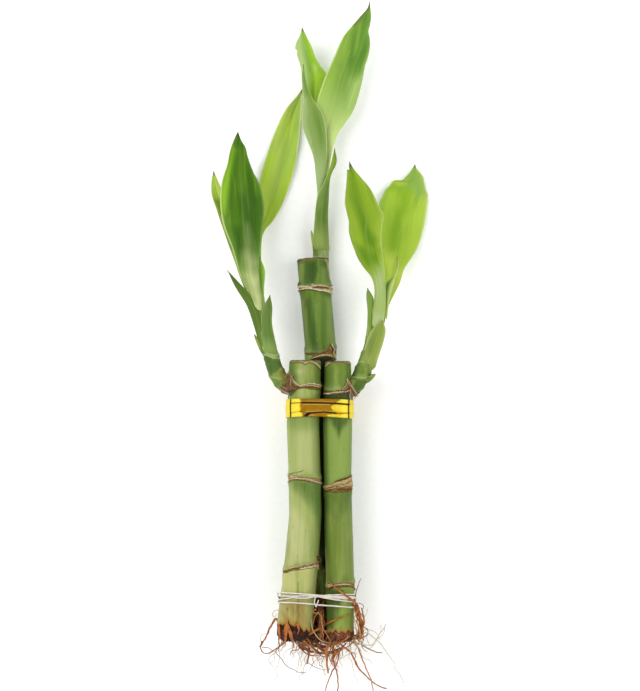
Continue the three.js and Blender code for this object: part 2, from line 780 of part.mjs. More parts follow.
function fringeRoots() {
  const random = randomFrom(11);
  const roots = [];
  for (const [name, count] of Object.entries(FRINGE)) {
    const cane = CANES[name];
    const { x, radius } = caneAt(cane, cane.rootY);
    for (let i = 0; i < count; i++) {
      const angle = ((i + 0.6 * random()) / count) * 2 * Math.PI;
      const outward = new THREE.Vector3(Math.cos(angle), 0, Math.sin(angle));
      const reach = 12 + 14 * random();
      const spread = (0.2 + 0.5 * random()) * reach;
      const sway = (random() - 0.5) * 6;
      const thick = 0.45 + 0.35 * random();
      const start = new THREE.Vector3(x, cane.crownY + 3, cane.z).addScaledVector(outward, radius * 0.6);
      const mid = start.clone().addScaledVector(outward, spread * 0.5 + 1.5);
      mid.add(new THREE.Vector3(sway * 0.5, -3 - reach * 0.4, 0));
      const end = mid.clone().addScaledVector(outward, spread * 0.5);
      end.add(new THREE.Vector3(sway, -reach * 0.55, -reach * 0.25));
      for (const p of [mid, end]) p.z = Math.max(p.z, thick + 0.5);
      roots.push(rootSolid([start, mid, end], thick));
    }
  }
  return roots;
}

function rootsSolid() {
  const pieces = Object.values(CANES).map(crownSolid);
  for (const { path, radius } of MAIN_ROOTS) {
    pieces.push(rootSolid(path.map(([px, py, z]) => at(px, py, z)), radius));
  }
  pieces.push(rootOverCane(OVER_ROOT), rootOverCane(CROSSING_ROOT));
  pieces.push(...fringeRoots());
  return largest(joined(pieces));
}

// Materials
const finish = (color, roughness, metalness = 0) =>
  new THREE.MeshStandardMaterial({ color, roughness, metalness });
const FINISH = {
  caneLeft: finish(0xaab96c, 0.45),
  caneRight: finish(0x8aa64a, 0.45),
  caneBack: finish(0x66833a, 0.45),
  collar: finish(0xa88a62, 0.85),
  stem: finish(0x7fa050, 0.45),
  leaf: finish(0x7fae35, 0.4),
  root: finish(0xa85a20, 0.8),
  tape: finish(0xe0b01c, 0.25, 1),
  elastic: finish(0xefe9e6, 0.6),
};

// The assembled bundle

const bundle = new THREE.Group();

function add(name, solid, material) {
  const mesh = new THREE.Mesh(geometryFrom(solid), material);
  mesh.name = name;
  bundle.add(mesh);
}

// The shoots: each piece is cut clear of those that are in place before it
function addShoot(side, cane, leafNames) {
  const canes = Object.values(CANES).map((other) => caneSolid(other, GAP));
  const neighbours = side === "center" ? [] : canes;
  add(`stem_${side}`, clearOf(stemSolid(STEMS[side]), neighbours), FINISH.stem);
  const placed = [stemSolid(STEMS[side], GAP), caneSolid(cane, GAP)];
  for (const name of leafNames) {
    add(name, clearOf(leafSolid(LEAVES[name]), placed), FINISH.leaf);
    placed.push(leafSolid(LEAVES[name], GAP));
  }
  if (side !== "center") {
    add(`shoot_scar_${side}`, clearOf(scarSolid(STEMS[side]), canes), FINISH.collar);
  }
}

add("cane_left", caneSolid(CANES.left), FINISH.caneLeft);
add("cane_right", caneSolid(CANES.right), FINISH.caneRight);
const shootSeat = [stemSolid(STEMS.center, GAP), groundBlock()];
add("cane_back", clearOf(caneSolid(CANES.back), shootSeat), FINISH.caneBack);

for (const [side, collars] of Object.entries(COLLARS)) {
  const cane = CANES[side];
  collars.forEach((collar, i) => {
    const shootHere = i === 0 && side !== "back";
    const neighbours = [];
    if (side === "back") neighbours.push(caneSolid(cane, GAP / 2));
    if (shootHere) neighbours.push(stemSolid(STEMS[side], 2 * GAP + COLLAR_THICKNESS));
    const solid = clearOf(collarSolid(cane, cane.nodeY[i], collar), neighbours);
    add(`collar_${side}_${i + 1}`, solid, FINISH.collar);
  });
}

addShoot("left", CANES.left, [
  "leaf_left_low_front",
  "leaf_left_low_side",
  "leaf_left_front",
  "leaf_left_inner",
  "leaf_left_side",
  "leaf_left_back",
]);
addShoot("center", CANES.back, [
  "leaf_center_low",
  "leaf_center_front",
  "leaf_center_tall",
  "leaf_center_back",
]);
addShoot("right", CANES.right, [
  "leaf_right_sheath",
  "leaf_right_front",
  "leaf_right_side",
  "leaf_right_small",
  "leaf_right_back",
]);

add("gold_tape", tapeSolid(), FINISH.tape);
add("elastic_band", joined(STRAND_TURNS.map(strandSolid)), FINISH.elastic);
add("roots", rootsSolid(), FINISH.root);

export default bundle;
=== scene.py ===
"""Lucky bamboo: three cut canes with leafy shoots and roots, tied with gold tape and an elastic band.

The looks of the bundle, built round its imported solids. Shapes are worked out in millimetres in the row's
frame, +Y from the roots to the leaf tips and +Z up, and are made in metres."""

import math
from functools import reduce

import bpy
import numpy as np
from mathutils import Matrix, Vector


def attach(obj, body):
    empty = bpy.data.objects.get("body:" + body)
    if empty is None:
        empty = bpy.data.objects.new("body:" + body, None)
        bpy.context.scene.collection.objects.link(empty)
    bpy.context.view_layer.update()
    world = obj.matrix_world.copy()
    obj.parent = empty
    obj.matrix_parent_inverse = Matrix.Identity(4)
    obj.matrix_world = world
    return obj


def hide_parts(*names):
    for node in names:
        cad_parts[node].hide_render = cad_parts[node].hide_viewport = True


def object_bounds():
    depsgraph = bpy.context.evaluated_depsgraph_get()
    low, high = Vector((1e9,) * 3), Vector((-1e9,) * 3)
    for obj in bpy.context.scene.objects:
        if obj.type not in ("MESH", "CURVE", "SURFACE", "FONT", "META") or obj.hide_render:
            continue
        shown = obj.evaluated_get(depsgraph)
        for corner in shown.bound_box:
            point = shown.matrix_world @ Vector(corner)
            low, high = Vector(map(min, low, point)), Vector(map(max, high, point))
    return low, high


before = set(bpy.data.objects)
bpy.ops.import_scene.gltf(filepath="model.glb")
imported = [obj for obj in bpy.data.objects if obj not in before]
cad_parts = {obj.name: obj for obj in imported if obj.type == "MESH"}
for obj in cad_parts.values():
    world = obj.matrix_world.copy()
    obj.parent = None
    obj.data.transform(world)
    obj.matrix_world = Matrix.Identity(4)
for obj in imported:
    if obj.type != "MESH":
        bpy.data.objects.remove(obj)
CAD_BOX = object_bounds()

# Driving dimensions, in millimetres, as the solids have them
FRONT_CANE_LENGTH = 150
TAPE_THICKNESS = 0.35
LEAF_THICKNESS = 0.4
FOOT_HEIGHT = 1.5
FOOT_REACH = 4
TIE_GAP = 0.3
STRAND_THICKNESS = 0.6

# The photograph's frame: a front cane spans 280 of its points, a point has its full width at the height
# PLANE_Z, and the eye is at VIEW and looks straight down
FRONT_CANE_POINTS = 280
MM_PER_POINT = FRONT_CANE_LENGTH / FRONT_CANE_POINTS
PHOTO_MIDDLE = (320, 345.5)
PHOTO_HEIGHT = 691
VIEW = (-0.8, 50.6, 1053)
PLANE_Z = 24

METRES = 0.001
UP = np.array([0.0, 0.0, 1.0])
TINY = 1e-9

# The random numbers' word and step, as the solids have them, and how much each wave's size varies
WORD = 0xFFFFFFFF
SEED_STEP = 0x6D2B79F5
WAVE_LEAST = 0.6
WAVE_SPAN = 0.8


def at(px, py, z):
    """A point of the photograph at height z, brought to its true place. Arrays give an array of points."""
    px, py, z = np.broadcast_arrays(np.asarray(px, float), py, z)
    scale = MM_PER_POINT * (VIEW[2] - z) / (VIEW[2] - PLANE_Z)
    x = VIEW[0] + (px - PHOTO_MIDDLE[0]) * scale
    y = VIEW[1] + (PHOTO_MIDDLE[1] - py) * scale
    return np.stack([x, y, z], -1)


def path_of(points):
    """The places of points given by the photograph's x and y and the height."""
    return at(*np.array(points, float).T)


def photo_point(points):
    """Where the photograph shows points of the part."""
    scale = MM_PER_POINT * (VIEW[2] - points[..., 2]) / (VIEW[2] - PLANE_Z)
    px = PHOTO_MIDDLE[0] + (points[..., 0] - VIEW[0]) / scale
    py = PHOTO_MIDDLE[1] - (points[..., 1] - VIEW[1]) / scale
    return px, py


def lerp(a, b, t):
    return a + (b - a) * t


def smoothstep(x, low, high):
    t = np.clip((x - low) / (high - low), 0, 1)
    return t * t * (3 - 2 * t)


def random_from(seed):
    """Repeatable random numbers from 0 to 1, drawn as the solids' are."""
    state = seed

    def draw():
        nonlocal state
        state = (state + SEED_STEP) & WORD
        t = ((state ^ (state >> 15)) * (1 | state)) & WORD
        mixed = ((t ^ (t >> 7)) * (61 | t)) & WORD
        t = ((t + mixed) & WORD) ^ t
        return (t ^ (t >> 14)) / (WORD + 1)

    return draw


def waves(x, random, lengths, size):
    """Smooth random ups and downs along x: one sine of each length, with a random start."""
    total = np.zeros_like(np.asarray(x, float))
    for length in lengths:
        start = random()
        total += np.sin(2 * np.pi * (x / length + start)) * (WAVE_LEAST + WAVE_SPAN * random())
    return size * total / len(lengths)


# Curves


def catmull_rom(points, steps=16):
    """Points along a centripetal Catmull-Rom curve, with its ends carried on straight."""
    p = np.asarray(points, float)
    p = np.vstack([2 * p[0] - p[1], p, 2 * p[-1] - p[-2]])
    found = []
    for i in range(1, len(p) - 2):
        a, b, c, d = p[i - 1 : i + 3]
        knots = [max(np.linalg.norm(v - u), 1e-6) ** 0.5 for u, v in ((a, b), (b, c), (c, d))]
        t0, t1, t2, t3 = np.cumsum([0] + knots)
        t = np.linspace(t1, t2, steps, endpoint=False)[:, None]
        ab = a + (b - a) * (t - t0) / (t1 - t0)
        bc = b + (c - b) * (t - t1) / (t2 - t1)
        cd = c + (d - c) * (t - t2) / (t3 - t2)
        abc = ab + (bc - ab) * (t - t0) / (t2 - t0)
        bcd = bc + (cd - bc) * (t - t1) / (t3 - t1)
        found.append(abc + (bcd - abc) * (t - t1) / (t2 - t1))
    return np.vstack(found + [p[-2:-1]])


def arc_lengths(points):
    steps = np.linalg.norm(np.diff(points, axis=0), axis=1)
    return np.concatenate([[0], np.cumsum(steps)])


def resample(points, shares):
    """Points at the given shares, from 0 to 1, of a line's length."""
    lengths = arc_lengths(points)
    wanted = np.asarray(shares) * lengths[-1]
    return np.stack([np.interp(wanted, lengths, points[:, k]) for k in range(points.shape[1])], -1)


def spread(values, t):
    """A value from an evenly spaced list, with t from 0 to 1 along it."""
    return np.interp(t, np.linspace(0, 1, len(values)), values)


def unit(v):
    return v / np.maximum(np.linalg.norm(v, axis=-1, keepdims=True), TINY)


def full_turn(sides):
    """Evenly spaced angles, once round."""
    return np.linspace(0, 2 * np.pi, sides, endpoint=False)


# Painted marks


def line_distance(px, py, line):
    """How far points of the photograph lie from a line."""
    nearest = np.full_like(px, np.inf)
    for (ax, ay), (bx, by) in zip(line, line[1:]):
        dx, dy = bx - ax, by - ay
        t = np.clip(((px - ax) * dx + (py - ay) * dy) / (dx * dx + dy * dy), 0, 1)
        nearest = np.minimum(nearest, np.hypot(px - ax - t * dx, py - ay - t * dy))
    return nearest


def inside(px, py, outline):
    found = np.zeros(px.shape, bool)
    for (ax, ay), (bx, by) in zip(outline, outline[1:] + outline[:1]):
        crosses = (ay > py) != (by > py)
        found ^= crosses & (px < ax + (py - ay) * (bx - ax) / (by - ay + TINY))
    return found


def painted(px, py, kinds, areas, lines, spots, softer=1.0):
    """The strength of each kind of painted mark at points of the photograph. softer widens areas' edges."""
    total = {kind: np.zeros_like(px) for kind in kinds}
    for kind, strength, soft, outline in areas:
        depth = line_distance(px, py, outline + outline[:1]) * np.where(inside(px, py, outline), 1, -1)
        total[kind] += strength * smoothstep(depth, -soft * softer, soft * softer)
    for kind, strength, half, line in lines:
        total[kind] += strength * (1 - smoothstep(line_distance(px, py, line), half * 0.5, half * 1.5))
    for kind, strength, width, height, (x, y) in spots:
        total[kind] += strength * np.exp(-(((px - x) / width) ** 2) - ((py - y) / height) ** 2)
    return {kind: np.clip(values, 0, 1) for kind, values in total.items()}


# Meshes


def make_piece(name, points, faces, material, nodes, attributes):
    """A smooth mesh piece, given in millimetres, that rides on the root body and stands for the nodes."""
    mesh = bpy.data.meshes.new(name)
    points = np.clip(np.asarray(points) * METRES, *CAD_BOX)
    mesh.from_pydata(points.tolist(), [], faces)
    mesh.validate()
    mesh.shade_smooth()
    for key, values in attributes.items():
        values = np.asarray(values, np.float32)
        kind, field = ("FLOAT", "value") if values.ndim == 1 else ("FLOAT_VECTOR", "vector")
        mesh.attributes.new(key, kind, "POINT").data.foreach_set(field, values.ravel())
    mesh.materials.append(material)
    piece = bpy.data.objects.new(name, mesh)
    bpy.context.scene.collection.objects.link(piece)
    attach(piece, "root")
    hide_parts(*nodes)


def tube_faces(rings, sides, closed=False):
    """Quads between rings of points. Unless it is closed, a tube ends in fans round its two added hubs."""
    faces = []
    for i in range(rings if closed else rings - 1):
        low = i * sides
        high = (i + 1) % rings * sides
        for j in range(sides):
            k = (j + 1) % sides
            faces.append((low + j, low + k, high + k, high + j))
    if not closed:
        hub = rings * sides
        last = hub - sides
        faces += [((j + 1) % sides, j, hub) for j in range(sides)]
        faces += [(last + j, last + (j + 1) % sides, hub + 1) for j in range(sides)]
    return faces


def with_hubs(rings):
    """The rings' points, with the middle of the first and of the last ring after them."""
    flat = rings.reshape(-1, 3)
    return np.vstack([flat, rings[0].mean(0), rings[-1].mean(0)])


def closed_sheet(rows, cols):
    """Faces of a thin sheet of (rows + 1) by (cols + 1) points, its upper layer's points before its lower."""
    wide = cols + 1
    under = (rows + 1) * wide
    faces = []
    for i in range(rows):
        for j in range(cols):
            a = i * wide + j
            faces.append((a, a + 1, a + wide + 1, a + wide))
            faces.append((under + a, under + a + wide, under + a + wide + 1, under + a + 1))
    rim = [*range(wide), *range(2 * wide - 1, under, wide), *range(under - 2, rows * wide - 1, -1)]
    rim += [*range((rows - 1) * wide, 0, -wide)]
    return faces + [(a, under + a, under + b, b) for a, b in zip(rim, rim[1:] + rim[:1])]


def closed_band(inner, outer):
    """Points and faces of a band that runs all the way round, from the rows of its two sheets."""
    sections = np.concatenate([inner, outer[::-1]]).transpose(1, 0, 2)
    return sections.reshape(-1, 3), tube_faces(*sections.shape[:2], closed=True)


def rings_along(line, radii, sides):
    """Rings square to a line, turned as little as possible from one to the next."""
    along = unit(np.gradient(line, axis=0))
    radii = np.broadcast_to(np.asarray(radii, float).reshape(len(line), -1), (len(line), sides))
    side = unit(np.cross(UP, along[0]) if abs(along[0][2]) < 0.95 else np.array([1.0, 0, 0]))
    angles = full_turn(sides)[:, None]
    rings = []
    for middle, direction, radius in zip(line, along, radii):
        side = unit(side - direction * side.dot(direction))
        up = np.cross(direction, side)
        rings.append(middle + radius[:, None] * (np.cos(angles) * side + np.sin(angles) * up))
    return np.array(rings)


class Pile:
    """Several bodies gathered into one mesh, with their attributes."""

    def __init__(self):
        self.points = []
        self.faces = []
        self.attributes = {}
        self.count = 0

    def add(self, points, faces, **attributes):
        self.faces += [tuple(self.count + k for k in face) for face in faces]
        self.points.append(points)
        for key, values in attributes.items():
            values = np.broadcast_to(values, (len(points),) + np.shape(values)[1:])
            self.attributes.setdefault(key, []).append(values)
        self.count += len(points)

    def piece(self, name, material, slot, nodes):
        attributes = {key: np.concatenate(values) for key, values in self.attributes.items()}
        make_piece(name, np.vstack(self.points), self.faces, material, nodes, attributes)


# Material helpers

# How bright the studio shows a white surface that faces up
LIGHT_LEVEL = 1.56


def colour(code, level=LIGHT_LEVEL):
    """The linear RGBA skin that shows a screen colour such as 97b733 in the studio's light."""
    parts = [int(code[i : i + 2], 16) / 255 for i in (0, 2, 4)]
    linear = [p / 12.92 if p <= 0.04045 else ((p + 0.055) / 1.055) ** 2.4 for p in parts]
    return [value / level for value in linear] + [1.0]


class Finish:
    """A material with one Principled shader, and short calls for the nodes that feed it."""

    def __init__(self, name, roughness=0.5, **constants):
        self.material = bpy.data.materials.new(name)
        self.material.use_nodes = True
        self.tree = self.material.node_tree
        self.shader = self.tree.nodes["Principled BSDF"]
        self.shader.inputs["Roughness"].default_value = roughness
        for key, value in constants.items():
            self.shader.inputs[key.replace("_", " ")].default_value = value

    def node(self, kind, inputs=None, output=0, **settings):
        made = self.tree.nodes.new(kind)
        for key, value in settings.items():
            setattr(made, key, value)
        for key, value in (inputs or {}).items():
            if isinstance(value, bpy.types.NodeSocket):
                self.tree.links.new(value, made.inputs[key])
            else:
                made.inputs[key].default_value = value
        return made.outputs[output]

    def set(self, name, socket):
        self.tree.links.new(socket, self.shader.inputs[name])

    def position(self):
        return self.node("ShaderNodeTexCoord", output="Object")

    def millimetres(self):
        return self.scaled(self.position(), *[1 / METRES] * 3)

    def attribute(self, name, output="Fac"):
        return self.node("ShaderNodeAttribute", output=output, attribute_name=name)

    def parts(self, vector):
        split = self.tree.nodes.new("ShaderNodeSeparateXYZ")
        self.tree.links.new(vector, split.inputs[0])
        return list(split.outputs)

    def join(self, x, y, z):
        return self.node("ShaderNodeCombineXYZ", {0: x, 1: y, 2: z})

    def scaled(self, vector, x, y, z):
        return self.node("ShaderNodeVectorMath", {0: vector, 1: (x, y, z)}, operation="MULTIPLY")

    def math(self, operation, a, b=0.0, clamp=False):
        return self.node("ShaderNodeMath", {0: a, 1: b}, operation=operation, use_clamp=clamp)

    def fade(self, value, low, high, to_low=0.0, to_high=1.0):
        """A smooth change from to_low where value is low to to_high where it is high."""
        inputs = {"Value": value, "From Min": low, "From Max": high, "To Min": to_low, "To Max": to_high}
        return self.node("ShaderNodeMapRange", inputs, interpolation_type="SMOOTHSTEP")

    def noise(self, vector, scale, detail=3.0, roughness=0.5, distortion=0.0):
        inputs = {"Vector": vector, "Scale": scale, "Detail": detail, "Roughness": roughness,
                  "Distortion": distortion}
        return self.node("ShaderNodeTexNoise", inputs)

    def mix(self, share, a, b, blend_type="MIX"):
        """The colour a with the given share of b. Either may be a screen colour."""
        a, b = (colour(value) if isinstance(value, str) else value for value in (a, b))
        inputs = {0: share, 6: a, 7: b}
        return self.node("ShaderNodeMix", inputs, output=2, data_type="RGBA", blend_type=blend_type)

    def ramp(self, value, stops):
        """A colour from a list of (place from 0 to 1, screen colour)."""
        made = self.tree.nodes.new("ShaderNodeValToRGB")
        self.tree.links.new(value, made.inputs[0])
        elements = made.color_ramp.elements
        while len(elements) < len(stops):
            elements.new(0.5)
        for element, (place, code) in zip(elements, stops):
            element.position = place
            element.color = colour(code)
        return made.outputs[0]

    def shade(self, share, base, light):
        """The colour base times light, by the given share."""
        return self.mix(share, base, [light] * 3 + [1.0], "MULTIPLY")

    def bump(self, height, distance_mm, under=None):
        inputs = {"Height": height, "Distance": distance_mm * METRES, "Strength": 1.0}
        if under is not None:
            inputs["Normal"] = under
        return self.node("ShaderNodeBump", inputs)


# Leaf materials

# Each leaf's screen colours: across the blade from its left edge to its right, then its sheath, the
# streaks, the bright patches, the tip, how far up the sheath's colour reaches, and how pale each rim is
LEAF_COLOURS = {
    "leaf_left_front": dict(across=["6c9826", "568410", "44730e", "3e670e", "578a1c"], sheath="ced892",
                            streak="33600a", lime="8cc01c", tip="5a4a3c", reach=0.16, rims=(0.7, 0.2)),
    "leaf_left_side": dict(across=["c0dc58", "b0d048", "a2c43c", "94b634", "a8c850"], sheath="c8dc90",
                           streak="5f8820", lime="cce860", tip="5d5a34", reach=0.1, rims=(0.6, 0.2)),
    "leaf_left_back": dict(across=["c4e060", "bedb5c", "b4d25a", "b2d652", "b6da4c"], sheath="dcebb4",
                           streak="86aa3c", lime="bfe23c", tip="a8b478", reach=0.15, rims=(0.2, 0.9)),
    "leaf_left_inner": dict(across=["6c982a", "7cac30", "84b634", "90c040", "a8d058"], sheath="8aaa48",
                            streak="5f8f20", lime="a0cc40", tip="6a962c", reach=0.1, rims=(0.1, 0.6)),
    "leaf_left_low_side": dict(across=["657e30", "5c7828", "567424", "577426", "6e8e36"], sheath="6a8030",
                               streak="4c6c26", lime="8cac48", tip="4a3a2c", reach=0.3, rims=(0.1, 0.35)),
    "leaf_left_low_front": dict(across=["86a458", "6e8a42", "637f36", "607f34", "7c9f4c"], sheath="86a252",
                                streak="4f6c28", lime="8cac50", tip="5b5238", reach=0.35, rims=(0.7, 0.4)),
    "leaf_center_tall": dict(across=["9cc44a", "86ac46", "7ba63c", "739e36", "84b048"], sheath="d8f090",
                             streak="558a26", lime="a4cc48", tip="5c4c44", reach=0.62, rims=(0.75, 0.2)),
    "leaf_center_back": dict(across=["bcda88", "aed06a", "96c444", "94c62c", "a4d23a"], sheath="c4dc90",
                             streak="6ea034", lime="b0dc34", tip="5d6a34", reach=0.1, rims=(0.3, 0.6)),
    "leaf_center_front": dict(across=["a4ba78", "98b266", "8ca650", "86a446", "90b25a"], sheath="a8c27c",
                              streak="66903a", lime="a0c050", tip="6c6c58", reach=0.45, rims=(0.8, 0.85)),
    "leaf_center_low": dict(across=["93ae58", "7c9a45", "6c8b3a", "6a8c38", "86a650"], sheath="93aa54",
                            streak="4f7226", lime="98be14", tip="7d6a30", reach=0.35, rims=(0.8, 0.05)),
    "leaf_right_front": dict(across=["94b034", "92b22c", "84a820", "92b42a", "a4c440"], sheath="b8ca88",
                             streak="5c8a0e", lime="8fb220", tip="5a5a3c", reach=0.2, rims=(0.15, 0.4)),
    "leaf_right_back": dict(across=["9cc43a", "94be2c", "9ac42c", "aed040", "bedc54"], sheath="dcf064",
                            streak="80b41c", lime="c0e448", tip="90b85a", reach=0.2, rims=(0.3, 0.5)),
    "leaf_right_small": dict(across=["86a444", "90ac50", "a2ba64", "bcd080", "c8da90"], sheath="c4d684",
                             streak="64842c", lime="c8e070", tip="4a5a2c", reach=0.2, rims=(0.2, 0.3)),
    "leaf_right_side": dict(across=["a0b870", "94b258", "87aa44", "82ac38", "94b848"], sheath="97aa60",
                            streak="64803c", lime="8cb82c", tip="55584c", reach=0.25, rims=(0.4, 0.4)),
    "leaf_right_sheath": dict(across=["b0c070", "8fa44a", "869c3e", "93a548", "b8c86c"], sheath="93a44e",
                              streak="6c8438", lime="a8c050", tip="9a9048", reach=0.3, rims=(0.7, 0.5)),
}
ACROSS_STOPS = (0.03, 0.25, 0.5, 0.75, 0.97)
THREAD_COLOUR = "d3e08c"
MIDRIB_COLOUR = "a3bb66"
RIM_COLOUR = "e4f0a4"
POINT_COLOUR = "4a4434"


def leaf_material(name, across, sheath, streak, lime, tip, reach, rims):
    """Streaked, finely ribbed leaf skin. The blade attribute is across (-1 to 1), along (0 to 1), and
    millimetres across, and blade_length is millimetres along."""
    skin = Finish(f"{name}_skin", roughness=0.45, Specular_IOR_Level=0.1)
    side, along, width_mm = skin.parts(skin.attribute("blade", "Vector"))
    length_mm = skin.attribute("blade_length")
    place = skin.math("MULTIPLY_ADD", side, 0.5)
    place.node.inputs[2].default_value = 0.5
    base = skin.ramp(place, list(zip(ACROSS_STOPS, across)))

    ribs_at = skin.join(width_mm, skin.math("MULTIPLY", length_mm, 0.012), 0.0)
    broad = skin.noise(skin.scaled(ribs_at, 0.35, 1.6, 1.0), 1.0, 3.0, 0.6)
    fine = skin.noise(skin.scaled(ribs_at, 2.2, 2.0, 1.0), 1.0, 2.0, 0.6)
    base = skin.mix(skin.fade(broad, 0.5, 0.72, 0.0, 0.5), base, streak)
    base = skin.mix(skin.fade(broad, 0.46, 0.3, 0.0, 0.3), base, lime)
    ragged = skin.fade(skin.math("ADD", broad, skin.math("MULTIPLY", fine, 0.5)), 0.55, 0.9, 0.55, 1.25)
    for kind, code in (("deep", streak), ("lime", lime)):
        base = skin.mix(skin.math("MULTIPLY", skin.attribute(kind), ragged, True), base, code)
    base = skin.shade(skin.fade(fine, 0.4, 0.65, 0.0, 0.4), base, 0.84)
    base = skin.mix(skin.fade(fine, 0.6, 0.8, 0.0, 0.16), base, THREAD_COLOUR)

    pale = skin.shade(skin.fade(fine, 0.4, 0.7, 0.0, 0.35), sheath, 0.84)
    streaky = skin.math("MULTIPLY", skin.attribute("pale"), skin.fade(fine, 0.3, 0.6, 1.1, 0.8), True)
    sheathed = skin.math("MAXIMUM", skin.fade(along, reach, reach * 0.3), streaky)
    base = skin.mix(sheathed, base, pale)
    base = skin.mix(skin.attribute("dusk"), base, tip)
    midrib = skin.fade(skin.math("ABSOLUTE", width_mm), 0.1, 0.9, 0.16, 0.0)
    base = skin.mix(skin.math("MULTIPLY", midrib, skin.fade(along, 0.9, 0.5)), base, MIDRIB_COLOUR)
    for sign, share in zip((-1, 1), rims):
        rim = skin.fade(skin.math("MULTIPLY", side, sign), 0.91, 0.97, 0.0, share)
        base = skin.mix(rim, base, RIM_COLOUR)
    base = skin.mix(skin.fade(along, 0.955, 0.995, 0.0, 0.9), base, tip)
    base = skin.mix(skin.fade(along, 0.97, 0.99, 0.0, 0.8), base, POINT_COLOUR)
    skin.set("Base Color", base)

    inputs = {"Vector": ribs_at, "Scale": 0.42, "Distortion": 0.6, "Detail": 1.0}
    under = skin.bump(skin.node("ShaderNodeTexWave", inputs), 0.035)
    skin.set("Normal", skin.bump(broad, 0.25, under))
    skin.set("Roughness", skin.fade(fine, 0.3, 0.7, 0.4, 0.55))
    return skin.material


# Leaves

